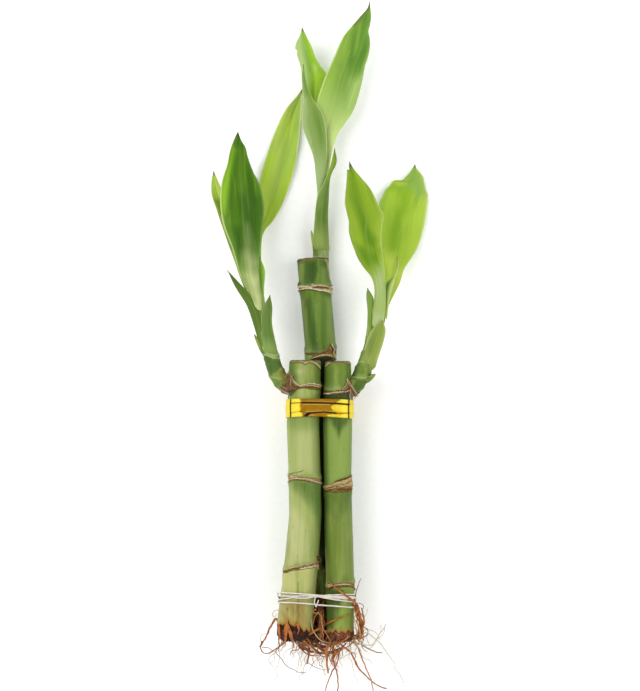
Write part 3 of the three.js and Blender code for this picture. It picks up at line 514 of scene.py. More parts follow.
# Edges are points of the photograph from the base to the tip, left and right. The heights run along the
# middle. arch is how far the middle stands above the edges, as a share of the half width, at the base
# and on the blade, and tilt is how far the right edge stands above the left in the same way.
LEAVES = {
    "leaf_left_front": dict(
        left=[(257, 319), (249, 294), (241, 277), (233, 250), (223.5, 225), (220.7, 210), (220.3, 195),
              (222, 181), (227, 165), (229.4, 153), (231.4, 146), (234.6, 138), (238, 131.6)],
        right=[(266, 321), (261.5, 294), (258.7, 271), (261, 238), (264.3, 211), (263.5, 200), (259, 183),
               (253.4, 172), (247.8, 156.5), (245.6, 147.5), (241.4, 140.5), (238, 131.6)],
        heights=[27, 26.5, 25.5, 24.5, 23.5, 22, 20], arch=(0.9, 0.25), tilt=0),
    "leaf_left_side": dict(
        left=[(256, 312), (243, 285), (234, 260), (225, 235), (216, 208), (211.6, 194), (211.4, 182),
              (213.6, 171)],
        right=[(261, 312), (251, 280), (243, 255), (236, 232), (231, 212), (224, 195), (218, 181),
               (213.6, 171)],
        heights=[20.5, 18.5, 15.5, 12.5, 10.5], arch=(-0.4, -0.2), tilt=0.2),
    "leaf_left_back": dict(
        left=[(259.5, 325), (255, 280), (254, 245), (256, 210), (260, 179), (266.6, 156), (277, 127.5),
              (287, 108), (296, 97.4), (303, 88)],
        right=[(268, 325), (262.4, 280), (261.4, 245), (264, 232), (273, 221), (283, 203.4), (292.6, 176),
               (298, 151), (300.6, 128), (303, 100), (303, 88)],
        heights=[19.7, 15.5, 8.5, 3, 0.9, 0.6, 1.4, 2.5], arch=(-0.4, -0.2), tilt=0),
    "leaf_left_inner": dict(
        left=[(257, 312), (255, 290), (255.5, 272), (259.5, 257)],
        right=[(264, 312), (264, 289), (264.8, 270), (259.5, 257)],
        heights=[20.8, 20.4, 20, 19.6], arch=(0.3, 0.2), tilt=-0.2),
    "leaf_left_low_side": dict(
        left=[(262, 354), (256, 333), (252, 320), (247, 306), (241, 296), (234.7, 286), (227.3, 270)],
        right=[(268, 347), (262.5, 325), (260.7, 310), (255, 300), (248, 292), (240, 283.5), (227.3, 270)],
        heights=[27, 26.5, 26, 25, 24], arch=(0.7, 0.3), tilt=0.7),
    "leaf_left_low_front": dict(
        left=[(263.3, 353), (261.2, 337), (261.2, 322), (262.5, 309), (270, 295)],
        right=[(279, 358), (274.5, 337), (272, 322), (272.2, 307), (270, 295)],
        heights=[28.9, 28.7, 28.4, 28], arch=(1, 0.5), tilt=0),
    "leaf_center_tall": dict(
        left=[(320, 190), (318, 160), (315.5, 130), (316.5, 104), (321.4, 87), (327.5, 71.4), (334, 57),
              (339.7, 43.6), (344.4, 35), (352.7, 25), (361.4, 15), (367.4, 8), (369.6, 1.3)],
        right=[(327, 190), (330.4, 160), (334, 144), (337.6, 134), (345.6, 122.6), (353.6, 110), (359, 94),
               (362.8, 78), (365, 66), (368, 57), (370, 46), (369.8, 38.4), (368.5, 31.6), (369.8, 26),
               (371.2, 17), (370.4, 8), (369.6, 1.3)],
        heights=[12.6, 12.2, 12, 12.4, 13, 14, 16], arch=(-0.4, -0.15), tilt=0),
    "leaf_center_back": dict(
        left=[(319, 186), (316, 155), (308, 120), (303, 100), (302, 80), (300.6, 67), (298.4, 59.6),
              (296.6, 54), (297, 50.6), (295.2, 49), (296.2, 42.4), (300.4, 34), (302, 27)],
        right=[(326, 186), (323.5, 155), (323, 120), (326, 95), (326.3, 74), (319.6, 64.4), (315.4, 57),
               (311.8, 47), (307.2, 37.6), (302, 27)],
        heights=[7.1, 7.7, 8.1, 8.4, 9, 9.9], arch=(-0.4, -0.15), tilt=0),
    "leaf_center_front": dict(
        left=[(317, 198), (315.6, 178), (313.8, 159), (309.6, 146), (305.4, 136), (302.2, 127),
              (302.2, 115), (303.4, 99), (302.6, 88), (301.8, 77), (303.3, 64)],
        right=[(326, 196), (326.6, 178), (327, 150), (326, 130), (323, 115), (317, 105), (311.2, 96),
               (306.4, 83), (304.8, 72), (303.3, 64)],
        heights=[16.3, 16.5, 17, 17.6, 18], arch=(0.9, 0.45), tilt=0, tuck=(0.3, 4.6, 0.15)),
    "leaf_center_low": dict(
        left=[(313, 256), (314, 226), (317.4, 197), (323.2, 184), (329.5, 168), (334.6, 148)],
        right=[(329.6, 256), (328, 222), (328.6, 201), (330.8, 176), (336.6, 162), (334.6, 148)],
        heights=[10.5, 12, 14, 16, 17.5], arch=(1, 0.5), tilt=0),
    "leaf_right_front": dict(
        left=[(371, 334), (373, 310), (374.4, 288), (371, 276.6), (364, 268), (358, 259), (354.4, 250),
              (350.8, 240), (348.8, 231), (348.7, 221), (346.6, 212), (344.9, 203.6), (345.3, 195),
              (346.3, 184), (347, 173), (347.2, 169.2), (349.3, 171), (349, 166), (349.3, 161.6)],
        right=[(381.5, 334), (385, 310), (385.4, 284), (383.6, 262), (381.8, 248), (381.6, 238),
               (382.6, 225), (384, 215), (380, 208), (377, 202), (373.6, 194.2), (368.4, 186),
               (363.6, 180.4), (358, 173.8), (353.6, 168.4), (349.3, 161.6)],
        heights=[27.2, 27, 26.5, 25.5, 24.5, 23], arch=(0.9, 0.2), tilt=0),
    "leaf_right_back": dict(
        left=[(374, 332), (380, 308), (383, 285), (382.5, 262), (380, 240), (379, 220), (379.2, 203),
              (382, 197), (385.2, 190), (390, 185), (393, 180.8), (397.6, 180.2), (401.6, 180.6),
              (405.6, 177), (410, 172), (415, 164)],
        right=[(383, 332), (388, 308), (393.4, 296), (400, 282.4), (404.4, 269), (411.6, 258),
               (417.4, 248), (421.8, 235), (425.2, 220), (427.2, 205), (427.9, 195.6), (426, 190),
               (424.6, 184), (423, 177), (420, 172.6), (416.4, 168.4), (415, 164)],
        heights=[19.4, 17, 12, 6.5, 2, 0.6, 1, 2.5], arch=(-0.4, -0.2), tilt=0),
    "leaf_right_small": dict(
        left=[(386, 319), (386.2, 299), (386.6, 284), (391, 279), (395.4, 274), (396.9, 257)],
        right=[(387, 319), (389.7, 299), (394.7, 281), (398.8, 266), (396.9, 257)],
        heights=[24, 24, 23.6, 23], arch=(0.5, 0.3), tilt=-0.3),
    "leaf_right_side": dict(
        left=[(364, 345), (366.6, 330), (367.4, 312), (366.3, 295), (367.6, 288)],
        right=[(371, 345), (371.5, 330), (372.7, 310), (373.4, 298), (367.6, 288)],
        heights=[25, 24.4, 23.6, 23], arch=(0.6, 0.2), tilt=0.4),
    "leaf_right_sheath": dict(
        left=[(361, 362), (364, 350), (368.2, 337), (374, 327.5), (382.5, 320.5)],
        right=[(374.5, 371), (378.5, 357), (384, 340), (385.6, 329), (382.5, 320.5)],
        heights=[28.9, 28.9, 28.8, 28.4], arch=(1, 0.7), tilt=0),
}

# Painted marks on the leaves, in the photograph's points. Deep is the streaks' green, lime a bright yellow
# green, pale is the sheath's colour and dusk the grey green of a worn tip.
LEAF_AREAS = {
    "leaf_left_front": [
        ("lime", 0.9, 2.2, [(220, 196), (223, 183), (229, 163), (233, 147), (235, 150), (230, 175),
                            (227, 200), (225, 214), (221, 208)]),
        ("deep", 0.75, 2.5, [(229, 160), (235, 142), (238, 150), (233, 190), (232, 225), (227, 215)]),
        ("lime", 0.2, 2.5, [(238, 148), (243, 150), (246, 185), (243, 195), (239, 190)]),
        ("deep", 0.35, 3.5, [(236, 190), (248, 190), (248, 216), (238, 216)]),
        ("deep", 0.55, 3.5, [(246, 196), (262, 196), (262, 228), (254, 240), (246, 226)]),
        ("deep", 0.7, 3, [(228, 226), (243, 226), (247, 244), (240, 262), (234, 248)]),
        ("deep", 0.5, 2.5, [(257, 238), (262, 232), (260, 255), (258, 264)]),
        ("pale", 0.3, 4, [(247, 226), (252, 246), (256, 262), (250, 270), (244, 258)]),
        ("pale", 0.45, 5, [(246, 254), (258, 262), (259, 280), (252, 292), (242, 276)]),
        ("pale", 0.85, 6, [(248, 276), (260, 276), (266, 320), (256, 320)]),
        ("pale", 0.4, 4, [(255, 294), (263, 294), (266, 320), (257, 320)]),
    ],
    "leaf_left_side": [
        ("lime", 0.8, 2, [(211, 178), (215, 173), (221, 188), (222, 200), (215, 196)]),
        ("deep", 0.7, 2, [(214, 200), (220, 200), (226, 218), (222, 222)]),
        ("pale", 0.9, 0.8, [(220, 216), (226, 218), (238, 254), (248, 286), (243, 286), (233, 258)]),
    ],
    "leaf_left_back": [
        ("lime", 0.9, 3, [(286, 120), (293, 118), (292, 132), (287, 140)]),
        ("deep", 0.25, 2.5, [(284, 130), (288, 142), (280, 190), (272, 214), (270, 205), (279, 170)]),
        ("lime", 0.7, 3, [(263, 170), (272, 150), (276, 158), (268, 196), (262, 200)]),
        ("lime", 0.6, 3, [(283, 178), (293, 165), (290, 182), (276, 212), (266, 222), (274, 202)]),
        ("lime", 0.7, 3, [(262, 205), (272, 196), (272, 216), (264, 228)]),
        ("dusk", 0.15, 2, [(298, 96), (303, 90), (302, 100), (298, 108)]),
    ],
    "leaf_center_tall": [
        ("deep", 0.7, 3, [(350, 33), (366, 14), (370, 16), (366, 34), (368, 52), (360, 66), (351, 72),
                          (346, 62)]),
        ("lime", 0.5, 2.5, [(344, 40), (350, 32), (349, 46), (344, 62), (340, 62)]),
        ("lime", 0.5, 1.5, [(358, 24), (362, 22), (358, 48), (354, 56)]),
        ("lime", 0.45, 3, [(322, 92), (334, 68), (338, 70), (330, 100), (322, 122), (318, 110)]),
        ("pale", 0.6, 5, [(352, 82), (362, 78), (354, 108), (336, 136), (330, 160), (327, 160), (332, 138),
                          (342, 110)]),
        ("pale", 0.9, 4, [(330, 120), (334, 120), (332, 160), (328, 182), (322, 182)]),
        ("dusk", 0.8, 1.2, [(352, 26), (366, 10), (369, 2), (369.6, 8), (364, 15), (355, 26)]),
    ],
    "leaf_center_back": [
        ("pale", 0.8, 2.5, [(297, 44), (301, 38), (304, 50), (306, 66), (304, 84), (302, 84), (300, 66),
                            (296, 52)]),
        ("deep", 0.35, 2, [(302, 34), (305, 40), (309, 56), (311, 76), (306, 72), (303, 52)]),
        ("lime", 1.0, 2.5, [(314, 66), (318, 68), (325, 76), (320, 92), (316, 104), (311, 94), (311, 80)]),
        ("pale", 0.7, 1.2, [(314, 64), (317, 67), (316, 72), (314, 70)]),
    ],
    "leaf_center_front": [
        ("pale", 0.8, 1.6, [(303, 96), (306, 99), (306, 124), (312, 142), (309, 142), (303, 130),
                            (302, 112)]),
        ("deep", 0.6, 2.5, [(314, 108), (322, 122), (324, 150), (322, 176), (318, 160), (318, 134),
                            (312, 116)]),
        ("deep", 0.6, 1.4, [(302.6, 72), (305, 80), (308, 94), (305, 98), (303, 88)]),
        ("pale", 0.6, 2, [(313, 158), (316, 160), (317.6, 198), (314, 198)]),
    ],
    "leaf_center_low": [
        ("lime", 0.6, 1.6, [(333, 152), (336.6, 161), (332, 172), (329, 182), (327, 178), (330, 166)]),
        ("deep", 0.5, 3, [(318, 212), (326, 205), (325, 232), (317, 232)]),
        ("pale", 0.75, 4, [(318, 236), (322, 232), (330, 240), (331, 258), (320, 258)]),
        ("deep", 0.7, 1.2, [(311, 236), (313.6, 238), (318, 251), (311, 251)]),
    ],
    "leaf_right_front": [
        ("deep", 0.85, 2.2, [(350, 178), (354, 184), (360, 205), (368, 226), (377, 240), (376, 250),
                             (366, 244), (357, 218), (350, 198)]),
        ("lime", 0.6, 2, [(347, 190), (350, 202), (357, 224), (364, 246), (359, 244), (351, 226),
                          (347, 208)]),
        ("deep", 0.7, 3, [(354, 244), (362, 246), (374, 252), (380, 250), (378, 264), (368, 266),
                          (360, 258)]),
        ("deep", 0.5, 2, [(349, 168), (354, 172), (353, 180), (349, 178)]),
        ("lime", 0.4, 2, [(364, 183), (374, 196), (380, 209), (378, 214), (368, 198)]),
        ("pale", 0.3, 4, [(375, 268), (381, 262), (385, 278), (378, 294), (372, 284)]),
        ("pale", 0.8, 5, [(376, 276), (385, 270), (387, 300), (383, 334), (371, 334), (373, 296)]),
        ("dusk", 0.7, 1, [(347, 168), (349, 161), (352, 166), (349.6, 172)]),
    ],
    "leaf_right_back": [
        ("dusk", 0.75, 4, [(404, 180), (409, 172), (415, 164), (420, 172), (425, 184), (427, 196), (418, 196),
                           (410, 188)]),
        ("pale", 0.6, 1.6, [(392, 181), (402, 181), (408, 178), (407, 184), (398, 186)]),
        ("lime", 0.6, 3.5, [(381, 206), (388, 190), (396, 190), (400, 204), (390, 230), (388, 260),
                            (384, 270), (381, 240)]),
        ("deep", 0.65, 3, [(392, 205), (400, 208), (400, 240), (396, 256), (390, 250), (390, 226)]),
        ("lime", 0.9, 4, [(404, 218), (420, 206), (424, 216), (416, 244), (404, 264), (396, 276),
                          (398, 250)]),
        ("lime", 0.9, 2.5, [(386, 258), (394, 262), (392, 276), (387, 280)]),
        ("pale", 0.55, 3, [(384, 250), (398, 254), (396, 272), (387, 280)]),
        ("pale", 0.9, 3, [(398, 272), (404, 268), (400, 284), (390, 304), (384, 332), (377, 332), (388, 300),
                          (392, 286)]),
    ],
    "leaf_right_small": [
        ("deep", 0.9, 0.5, [(396, 256), (398, 256), (396.6, 270), (391, 281), (387.4, 292), (387, 300),
                            (385.6, 292), (385, 282), (393, 275)]),
        ("pale", 0.9, 0.6, [(398.4, 266), (399, 272), (394, 288), (389.6, 304), (388, 318), (387.6, 300),
                            (391, 286)]),
    ],
    "leaf_right_side": [
        ("deep", 0.6, 1.0, [(366, 290), (368, 291), (368.4, 310), (369, 328), (367, 320)]),
        ("lime", 0.5, 1.2, [(370, 300), (373, 302), (372.4, 322), (370, 330)]),
    ],
    "leaf_right_sheath": [
        ("deep", 0.4, 1.6, [(370, 340), (376, 334), (374, 350), (368, 362), (366, 356)]),
        ("pale", 0.5, 1.4, [(381, 328), (384.6, 334), (381, 350), (377, 362), (376.6, 350)]),
    ],
}
LEAF_LINES = {
    "leaf_left_front": [
        ("dusk", 0.5, 0.5, [(238, 131), (245.8, 147.5), (253.6, 172), (259.2, 183), (263.7, 200),
                            (264.5, 211)]),
        ("dusk", 0.3, 0.5, [(258.4, 271), (261.6, 294)]),
    ],
    "leaf_left_low_side": [
        ("dusk", 0.6, 0.5, [(227.3, 270), (234.5, 286), (240.8, 296), (246.8, 306), (251.8, 320),
                            (256, 333)]),
        ("dusk", 0.6, 0.5, [(227.3, 270), (240, 283.4), (248.2, 292), (255.2, 300), (260.9, 310)]),
    ],
    "leaf_left_low_front": [("dusk", 0.6, 0.5, [(262.4, 309), (270, 295), (272.4, 307), (272.2, 322)])],
    "leaf_center_low": [("dusk", 0.7, 0.5, [(334.6, 148), (336.8, 162), (331, 176), (328.8, 201)])],
    "leaf_center_back": [("dusk", 0.5, 0.5, [(302, 27), (307.4, 37.6), (312, 47), (315.6, 57),
                                             (319.8, 64.4)])],
    "leaf_right_side": [("dusk", 0.6, 0.5, [(366.2, 295), (367.6, 288), (373.6, 298), (372.9, 310)])],
    "leaf_right_sheath": [("dusk", 0.5, 0.5, [(364, 350), (368, 337), (373.8, 327.5), (382.5, 320.5)])],
    "leaf_right_front": [
        ("deep", 0.7, 0.6, [(384.6, 282), (386, 300), (385, 316), (382, 332)]),
        ("dusk", 0.5, 0.5, [(349.3, 161.6), (353.8, 168.4), (363.8, 180.4), (373.8, 194.2), (380.2, 208),
                            (384, 215)]),
        ("dusk", 0.4, 0.5, [(349, 231), (354.2, 250), (363.8, 268), (371, 276.6)]),
    ],
    "leaf_left_back": [("deep", 0.25, 0.7, [(292, 112), (286, 150), (272, 205)]),
                       ("pale", 1.0, 0.8, [(302, 94), (300.4, 120), (299, 138), (297, 152)])],
    "leaf_center_tall": [("lime", 0.4, 0.7, [(350, 50), (340, 78), (331, 112)])],
}
LEAF_SOFTNESS = 1.9
LEAF_PAINTS = ("deep", "lime", "pale", "dusk")

ROW_SPACING = 0.75
LEAF_COLS = 32
TIP_HALF_POINTS = 0.25
LOWEST = 0.25

# How far up each leaf its base is tucked in, how many millimetres it drops there, and how much it narrows
TUCK = (0.08, 2.2, 0.25)

# The sheet's form: where the folded base turns into the flat blade, how nearly half round the fold is, and
# the midrib's rise as a share of the half width
FOLD_ENDS = (0.05, 0.4)
FOLD_ROUND = 0.96
KEEL = 0.16

# Waves along the edges and ribs across the blade: their lengths (in millimetres, and as a share of the
# half width) and their heights in millimetres
EDGE_WAVES = (38, 23, 14)
EDGE_HEIGHT = 0.5
RIB_WAVES = (0.9, 0.5)
RIB_HEIGHT = 0.1

# How much thinner a blade is at its edges, and at its tip
EDGE_THIN = 0.6
TIP_THIN = 0.4


def leaf_sheet(leaf, rows):
    """The leaf's middle sheet as a grid of points, and its attributes: across, along and millimetres."""
    shares = np.linspace(0, 1, rows + 1)
    left, right = (resample(catmull_rom(leaf[side]), shares) for side in ("left", "right"))
    t = shares[:, None]
    v = np.linspace(-1, 1, LEAF_COLS + 1)[None, :]
    middle = (left + right) / 2
    across = right - left
    half = np.maximum(np.linalg.norm(across, axis=1) / 2, TIP_HALF_POINTS)[:, None]
    across[-1] = across[-2]
    direction = unit(across)
    blend = smoothstep(t, *FOLD_ENDS)
    arch = lerp(*leaf["arch"], blend)
    reach, drop, narrow = leaf.get("tuck", TUCK)
    base = 1 - smoothstep(t, 0, reach)
    half = half * (1 - narrow * base)
    half_mm = half * MM_PER_POINT
    fall = lerp(1 - np.sqrt(1 - FOLD_ROUND * v * v), v * v, blend)
    keel = KEEL * blend * (1 - np.abs(v)) ** 3
    tilt = leaf["tilt"] * (1 - blend * 0.6) * v
    z = spread(leaf["heights"], shares)[:, None] + half_mm * (tilt - arch * fall - keel) - drop * base
    px = middle[:, :1] + direction[:, :1] * half * v
    py = middle[:, 1:] + direction[:, 1:] * half * v
    return at(px, py, z), v + 0 * t, t + 0 * v, half_mm * v


def ruffle(sheet, across, along, random):
    """Soft waves along both edges and fine uneven ribs on the blade."""
    length = arc_lengths(sheet[:, LEAF_COLS // 2])[:, None]
    room = smoothstep(along, 0.15, 0.4) * (1 - smoothstep(along, 0.9, 1))
    for edge in (-1, 1):
        near = np.clip(edge * across, 0, 1) ** 2
        sheet[..., 2] += near * room * waves(length, random, EDGE_WAVES, EDGE_HEIGHT)
    sheet[..., 2] += room * waves(across, random, RIB_WAVES, RIB_HEIGHT)
    return sheet


def blade_piece(name, leaf, seed):
    """A thin closed blade, thinner at its edges than along its middle."""
    rows = max(24, int(arc_lengths(np.array(leaf["left"]))[-1] * MM_PER_POINT / ROW_SPACING))
    sheet, across, along, width_mm = leaf_sheet(leaf, rows)
    sheet = ruffle(sheet, across, along, random_from(seed))
    sheet[..., 2] = np.maximum(sheet[..., 2], LOWEST + LEAF_THICKNESS)
    up = unit(np.cross(np.gradient(sheet, axis=1), np.gradient(sheet, axis=0)))
    up *= np.sign(up[..., 2:])
    half = LEAF_THICKNESS / 2 * (1 - EDGE_THIN * np.abs(across)) * (1 - TIP_THIN * along)
    layers = [sheet + up * half[..., None], sheet - up * half[..., None]]
    points = np.vstack([layer.reshape(-1, 3) for layer in layers])
    blade = np.stack([across, along, width_mm], -1).reshape(-1, 3)
    length = np.broadcast_to(arc_lengths(sheet[:, LEAF_COLS // 2])[:, None], across.shape)
    areas, lines = LEAF_AREAS.get(name, []), LEAF_LINES.get(name, [])
    attributes = painted(*photo_point(points), LEAF_PAINTS, areas, lines, [], LEAF_SOFTNESS)
    attributes["blade"] = np.vstack([blade, blade])
    attributes["blade_length"] = np.tile(length.ravel(), 2)
    material = leaf_material(name, **LEAF_COLOURS[name])
    make_piece(f"{name}_blade", points, closed_sheet(rows, LEAF_COLS), material, [name], attributes)


for order, (leaf_name, leaf_shape) in enumerate(LEAVES.items()):
    blade_piece(leaf_name, leaf_shape, seed=100 + order)


# Canes

# Axis stations from the top end to the root end: the photograph's x and y, and the radius. Each node's
# line swings up or down round the cane: (middle, towards the right, towards the front), in millimetres
CANES = {
    "left": dict(
        z=25.4, crown_end=641,
        axis=[(305.3, 360, 8.4), (303, 424, 8.65), (304.5, 475, 8.6), (305.3, 515, 8.75), (302, 555, 9.1),
              (298.4, 592, 9.4), (294.8, 624, 9.7)],
        nodes=[387, 480, 569], feet=[],
        lines=[(-0.2, -0.9, 0.2), (0, -0.8, 0.9), (0.9, 2.4, 0.6)]),
    "right": dict(
        z=24.2, crown_end=642,
        axis=[(338, 361, 6.95), (337.8, 424, 7.75), (337.5, 480, 7.35), (338.5, 529, 7.65), (340.3, 586, 7.7),
              (340.5, 631, 7.4)],
        nodes=[392, 488, 587], feet=[],
        lines=[(0, 0.1, 0.2), (-0.8, 0.2, -0.4), (0, 1.1, 1.4)]),
    "back": dict(
        z=9.4, crown_end=643, slope=0.6,
        axis=[(312.3, 258, 8.4), (320.6, 347, 8.3), (321.5, 440, 8.4), (321.5, 580, 8.4), (320, 632, 8.2)],
        nodes=[288, 352], feet=[440, 530],
        lines=[(0, 0.5, -0.3), (0, 0.6, -1.2)]),
}
CANE_SIDES = 144
NODE_REACH = 9
MOST_NODES = 3

# Distances between a cane's rings: along it, near its top and its nodes, and at its feet. Rings closer
# than LEAST_SPACING are left out
RING_SPACING = 1.4
NEAR_SPACING = 0.35
FOOT_SPACING = 1.0
LEAST_SPACING = 0.25

# How far up from the root end the skin's torn edge is drawn out, and the rings' shares of that stretch
TORN_REACH = 5.5
TORN_SHARES = (0, 0.08, 0.18, 0.3, 0.45, 0.65, 0.85)

for cane in CANES.values():
    px, py, radius = np.array(cane["axis"], float).T
    stations = at(px, py, cane["z"])
    cane["axis_y"], cane["axis_x"], cane["axis_radius"] = stations[::-1, 1], stations[::-1, 0], radius[::-1]
    cane["node_y"] = [at(0, node, cane["z"])[1] for node in cane["nodes"]]
    cane["foot_y"] = [at(0, foot, cane["z"])[1] for foot in cane["feet"]]
    cane["top_y"], cane["root_y"] = stations[0, 1], stations[-1, 1]
    cane["crown_y"] = at(0, cane["crown_end"], cane["z"])[1]


def node_relief(d):
    """A node's swellings d millimetres above its line, with the narrow groove that holds the collar."""
    upper = 0.6 * np.exp(-(((d - 2) / 1.8) ** 2))
    lower = 0.35 * np.exp(-(((d + 2) / 2) ** 2))
    return upper + lower - 0.45 * np.exp(-((d / 0.7) ** 4))


def node_line(cane, i, angle):
    middle, right, front = cane["lines"][i]
    wobble = 0.18 * np.sin(5 * angle + 2 * i) + 0.12 * np.sin(9 * angle + i)
    return cane["node_y"][i] + middle + right * np.cos(angle) + front * np.sin(angle) + wobble


def node_distances(cane, y, angle):
    """Millimetres above each node's line, kept within reach, with a far value for a missing third node."""
    gaps = [y - node_line(cane, i, angle) for i in range(len(cane["nodes"]))]
    gaps += [np.full_like(y, NODE_REACH)] * (MOST_NODES - len(gaps))
    return np.clip(np.stack(gaps, -1), -NODE_REACH, NODE_REACH)


def segment_at(cane, y, angle):
    """Which stretch between nodes a point lies in, from 0 for the top one to 1 for the lowest."""
    below = sum(smoothstep(node_line(cane, i, angle) - y, -0.5, 0.5) for i in range(len(cane["nodes"])))
    return below / len(cane["nodes"])


def axis_at(cane, y):
    return np.interp(y, cane["axis_y"], cane["axis_x"]), np.interp(y, cane["axis_y"], cane["axis_radius"])


def cane_surface(cane, y, angle, lift=0.0):
    """Points on the cane's skin, raised by lift."""
    x, radius = axis_at(cane, y)
    relief = sum(node_relief(y - node_line(cane, i, angle)) for i in range(len(cane["nodes"])))
    oval = 0.12 * np.sin(2 * angle + 0.02 * y) + 0.06 * np.sin(3 * angle - 0.05 * y)
    feet = sum(np.exp(-(((y - foot) / FOOT_REACH) ** 2)) for foot in cane["foot_y"])
    r = radius + relief + oval + FOOT_HEIGHT * feet * np.maximum(0, -np.sin(angle)) ** 3 + lift
    z = np.maximum(cane["z"] + r * np.sin(angle), 0)
    return np.stack(np.broadcast_arrays(x + r * np.cos(angle), y, z), -1)


def cane_levels(cane):
    """Heights of the rings from the root end up: close together at the nodes and at both ends."""
    low, high = cane["root_y"] + 5, cane["top_y"] - 0.6
    levels = [*np.arange(low, high, RING_SPACING), *np.arange(high - 5, high, NEAR_SPACING)]
    for node in cane["node_y"]:
        levels += [*np.arange(node - 5, node + 7, NEAR_SPACING)]
    for foot in cane["foot_y"]:
        levels += [*np.arange(foot - 8, foot + 8, FOOT_SPACING)]
    levels = np.unique(np.round(levels, 2))
    levels = levels[(levels > low) & (levels < high)]
    kept = [levels[0]]
    for level in levels[1:]:
        if level - kept[-1] > LEAST_SPACING:
            kept.append(level)
    return np.array(kept)


# The lower edge of each cane's skin on the front, in the photograph's points
TORN_EDGES = {
    "left": [(272, 621), (275, 624), (277, 628), (279.6, 624.6), (284, 626), (287.4, 621), (289.5, 625),
             (293, 626.4), (297, 622), (299.6, 626), (304, 632.6), (306.6, 630), (310, 634), (316, 633)],
    "right": [(324, 632), (327, 635), (330, 631.6), (332, 634.6), (335.6, 631), (338, 634), (342, 631.4),
              (345, 634.2), (348, 631), (352, 633), (357, 629)],
    "back": [(304, 618), (310, 622), (316, 616), (321, 624), (326, 618), (334, 622)],
}


def torn_end(side, cane, angle, random):
    """Where the skin's torn lower edge lies: as photographed on the front, with seeded teeth behind."""
    turn = angle / (2 * np.pi)
    teeth = np.abs(waves(turn, random, (1 / 14, 1 / 23, 1 / 37), 2.6))
    behind = cane["root_y"] + np.maximum(0.3, 1.4 + waves(turn, random, (1 / 3, 1 / 5, 1 / 8), 2.0) + teeth)
    spots = cane_surface(cane, cane["root_y"] + 0 * angle, angle)
    px, _ = photo_point(spots)
    py = np.interp(px, *np.array(TORN_EDGES[side]).T)
    seen = at(px, py, spots[:, 2])[:, 1] + waves(turn, random, (1 / 61, 1 / 97), 0.25)
    return lerp(behind, seen, smoothstep(np.sin(angle), -0.1, 0.3))


# A cane's top: how far down from it and how far inwards each ring of its shoulder lies, in millimetres,
# and how wide the rings of the cut face are, as shares of the shoulder's last ring
SHOULDER = ((1.5, 0.0), (1.0, 0.15), (0.55, 0.4), (0.2, 0.8), (0.0, 1.4))
CUT_SHARES = (0.9, 0.7, 0.4, 0.15)

# The rings inside the torn lower end: how wide, and how much deeper than its first ring
INNER_RINGS = ((0.5, 1.5), (0.85, 0.6))


def top_rings(cane, angle):
    """The rounded shoulder and the cut face of a cane's top, a little uneven all round."""
    top = cane["top_y"] + cane.get("slope", 0) * np.cos(angle) + 0.1 * np.sin(7 * angle)
    rings = []
    for down, inward in SHOULDER:
        ring = cane_surface(cane, cane["top_y"] - 0.6 + 0 * angle, angle, -inward)
        ring[:, 1] = np.minimum(top - down, cane["top_y"])
        rings.append(ring)
    edge = rings[-1]
    for share in CUT_SHARES:
        ring = lerp(edge.mean(0), edge, share)
        ring[:, 1] -= 0.3 * (1 - share) + 0.1 * np.sin(5 * angle) * share
        rings.append(ring)
    return rings


def cane_piece(side, cane, material, seed):
    angle = full_turn(CANE_SIDES)
    torn = torn_end(side, cane, angle, random_from(seed))
    levels = [lerp(torn, cane["root_y"] + TORN_REACH, share) for share in TORN_SHARES]
    low, high = cane["root_y"] + TORN_REACH + 0.2, cane["top_y"] - SHOULDER[0][0] - 0.3
    levels += [y + 0 * angle for y in cane_levels(cane) if low < y < high]
    rings = [cane_surface(cane, y, angle) for y in levels]
    inner = [lerp(rings[0].mean(0), rings[0], share) + [0, depth, 0] for share, depth in INNER_RINGS]
    rings = np.array(inner + rings + top_rings(cane, angle))
    points = with_hubs(rings)
    turn = np.concatenate([np.tile(angle, len(rings)), [0, 0]])
    torn_at = np.concatenate([np.tile(torn, len(rings)), [torn.mean()] * 2])
    ends = [points[:, 1] - torn_at, cane["top_y"] - points[:, 1], np.cos(turn)]
    cut = np.zeros(len(rings))
    cut[-len(CUT_SHARES):] = 1 - np.array(CUT_SHARES)
    cut = np.concatenate([np.repeat(cut, CANE_SIDES), [0, 1]])
    attributes = {"nodes": node_distances(cane, points[:, 1], turn), "ends": np.stack(ends, -1), "cut": cut,
                  "segment": segment_at(cane, points[:, 1], turn), **paint(side, points)}
    faces = [f[::-1] for f in tube_faces(len(rings), CANE_SIDES)]
    name = f"cane_{side}"
    make_piece(f"{name}_skin", points, faces, material, [name], attributes)


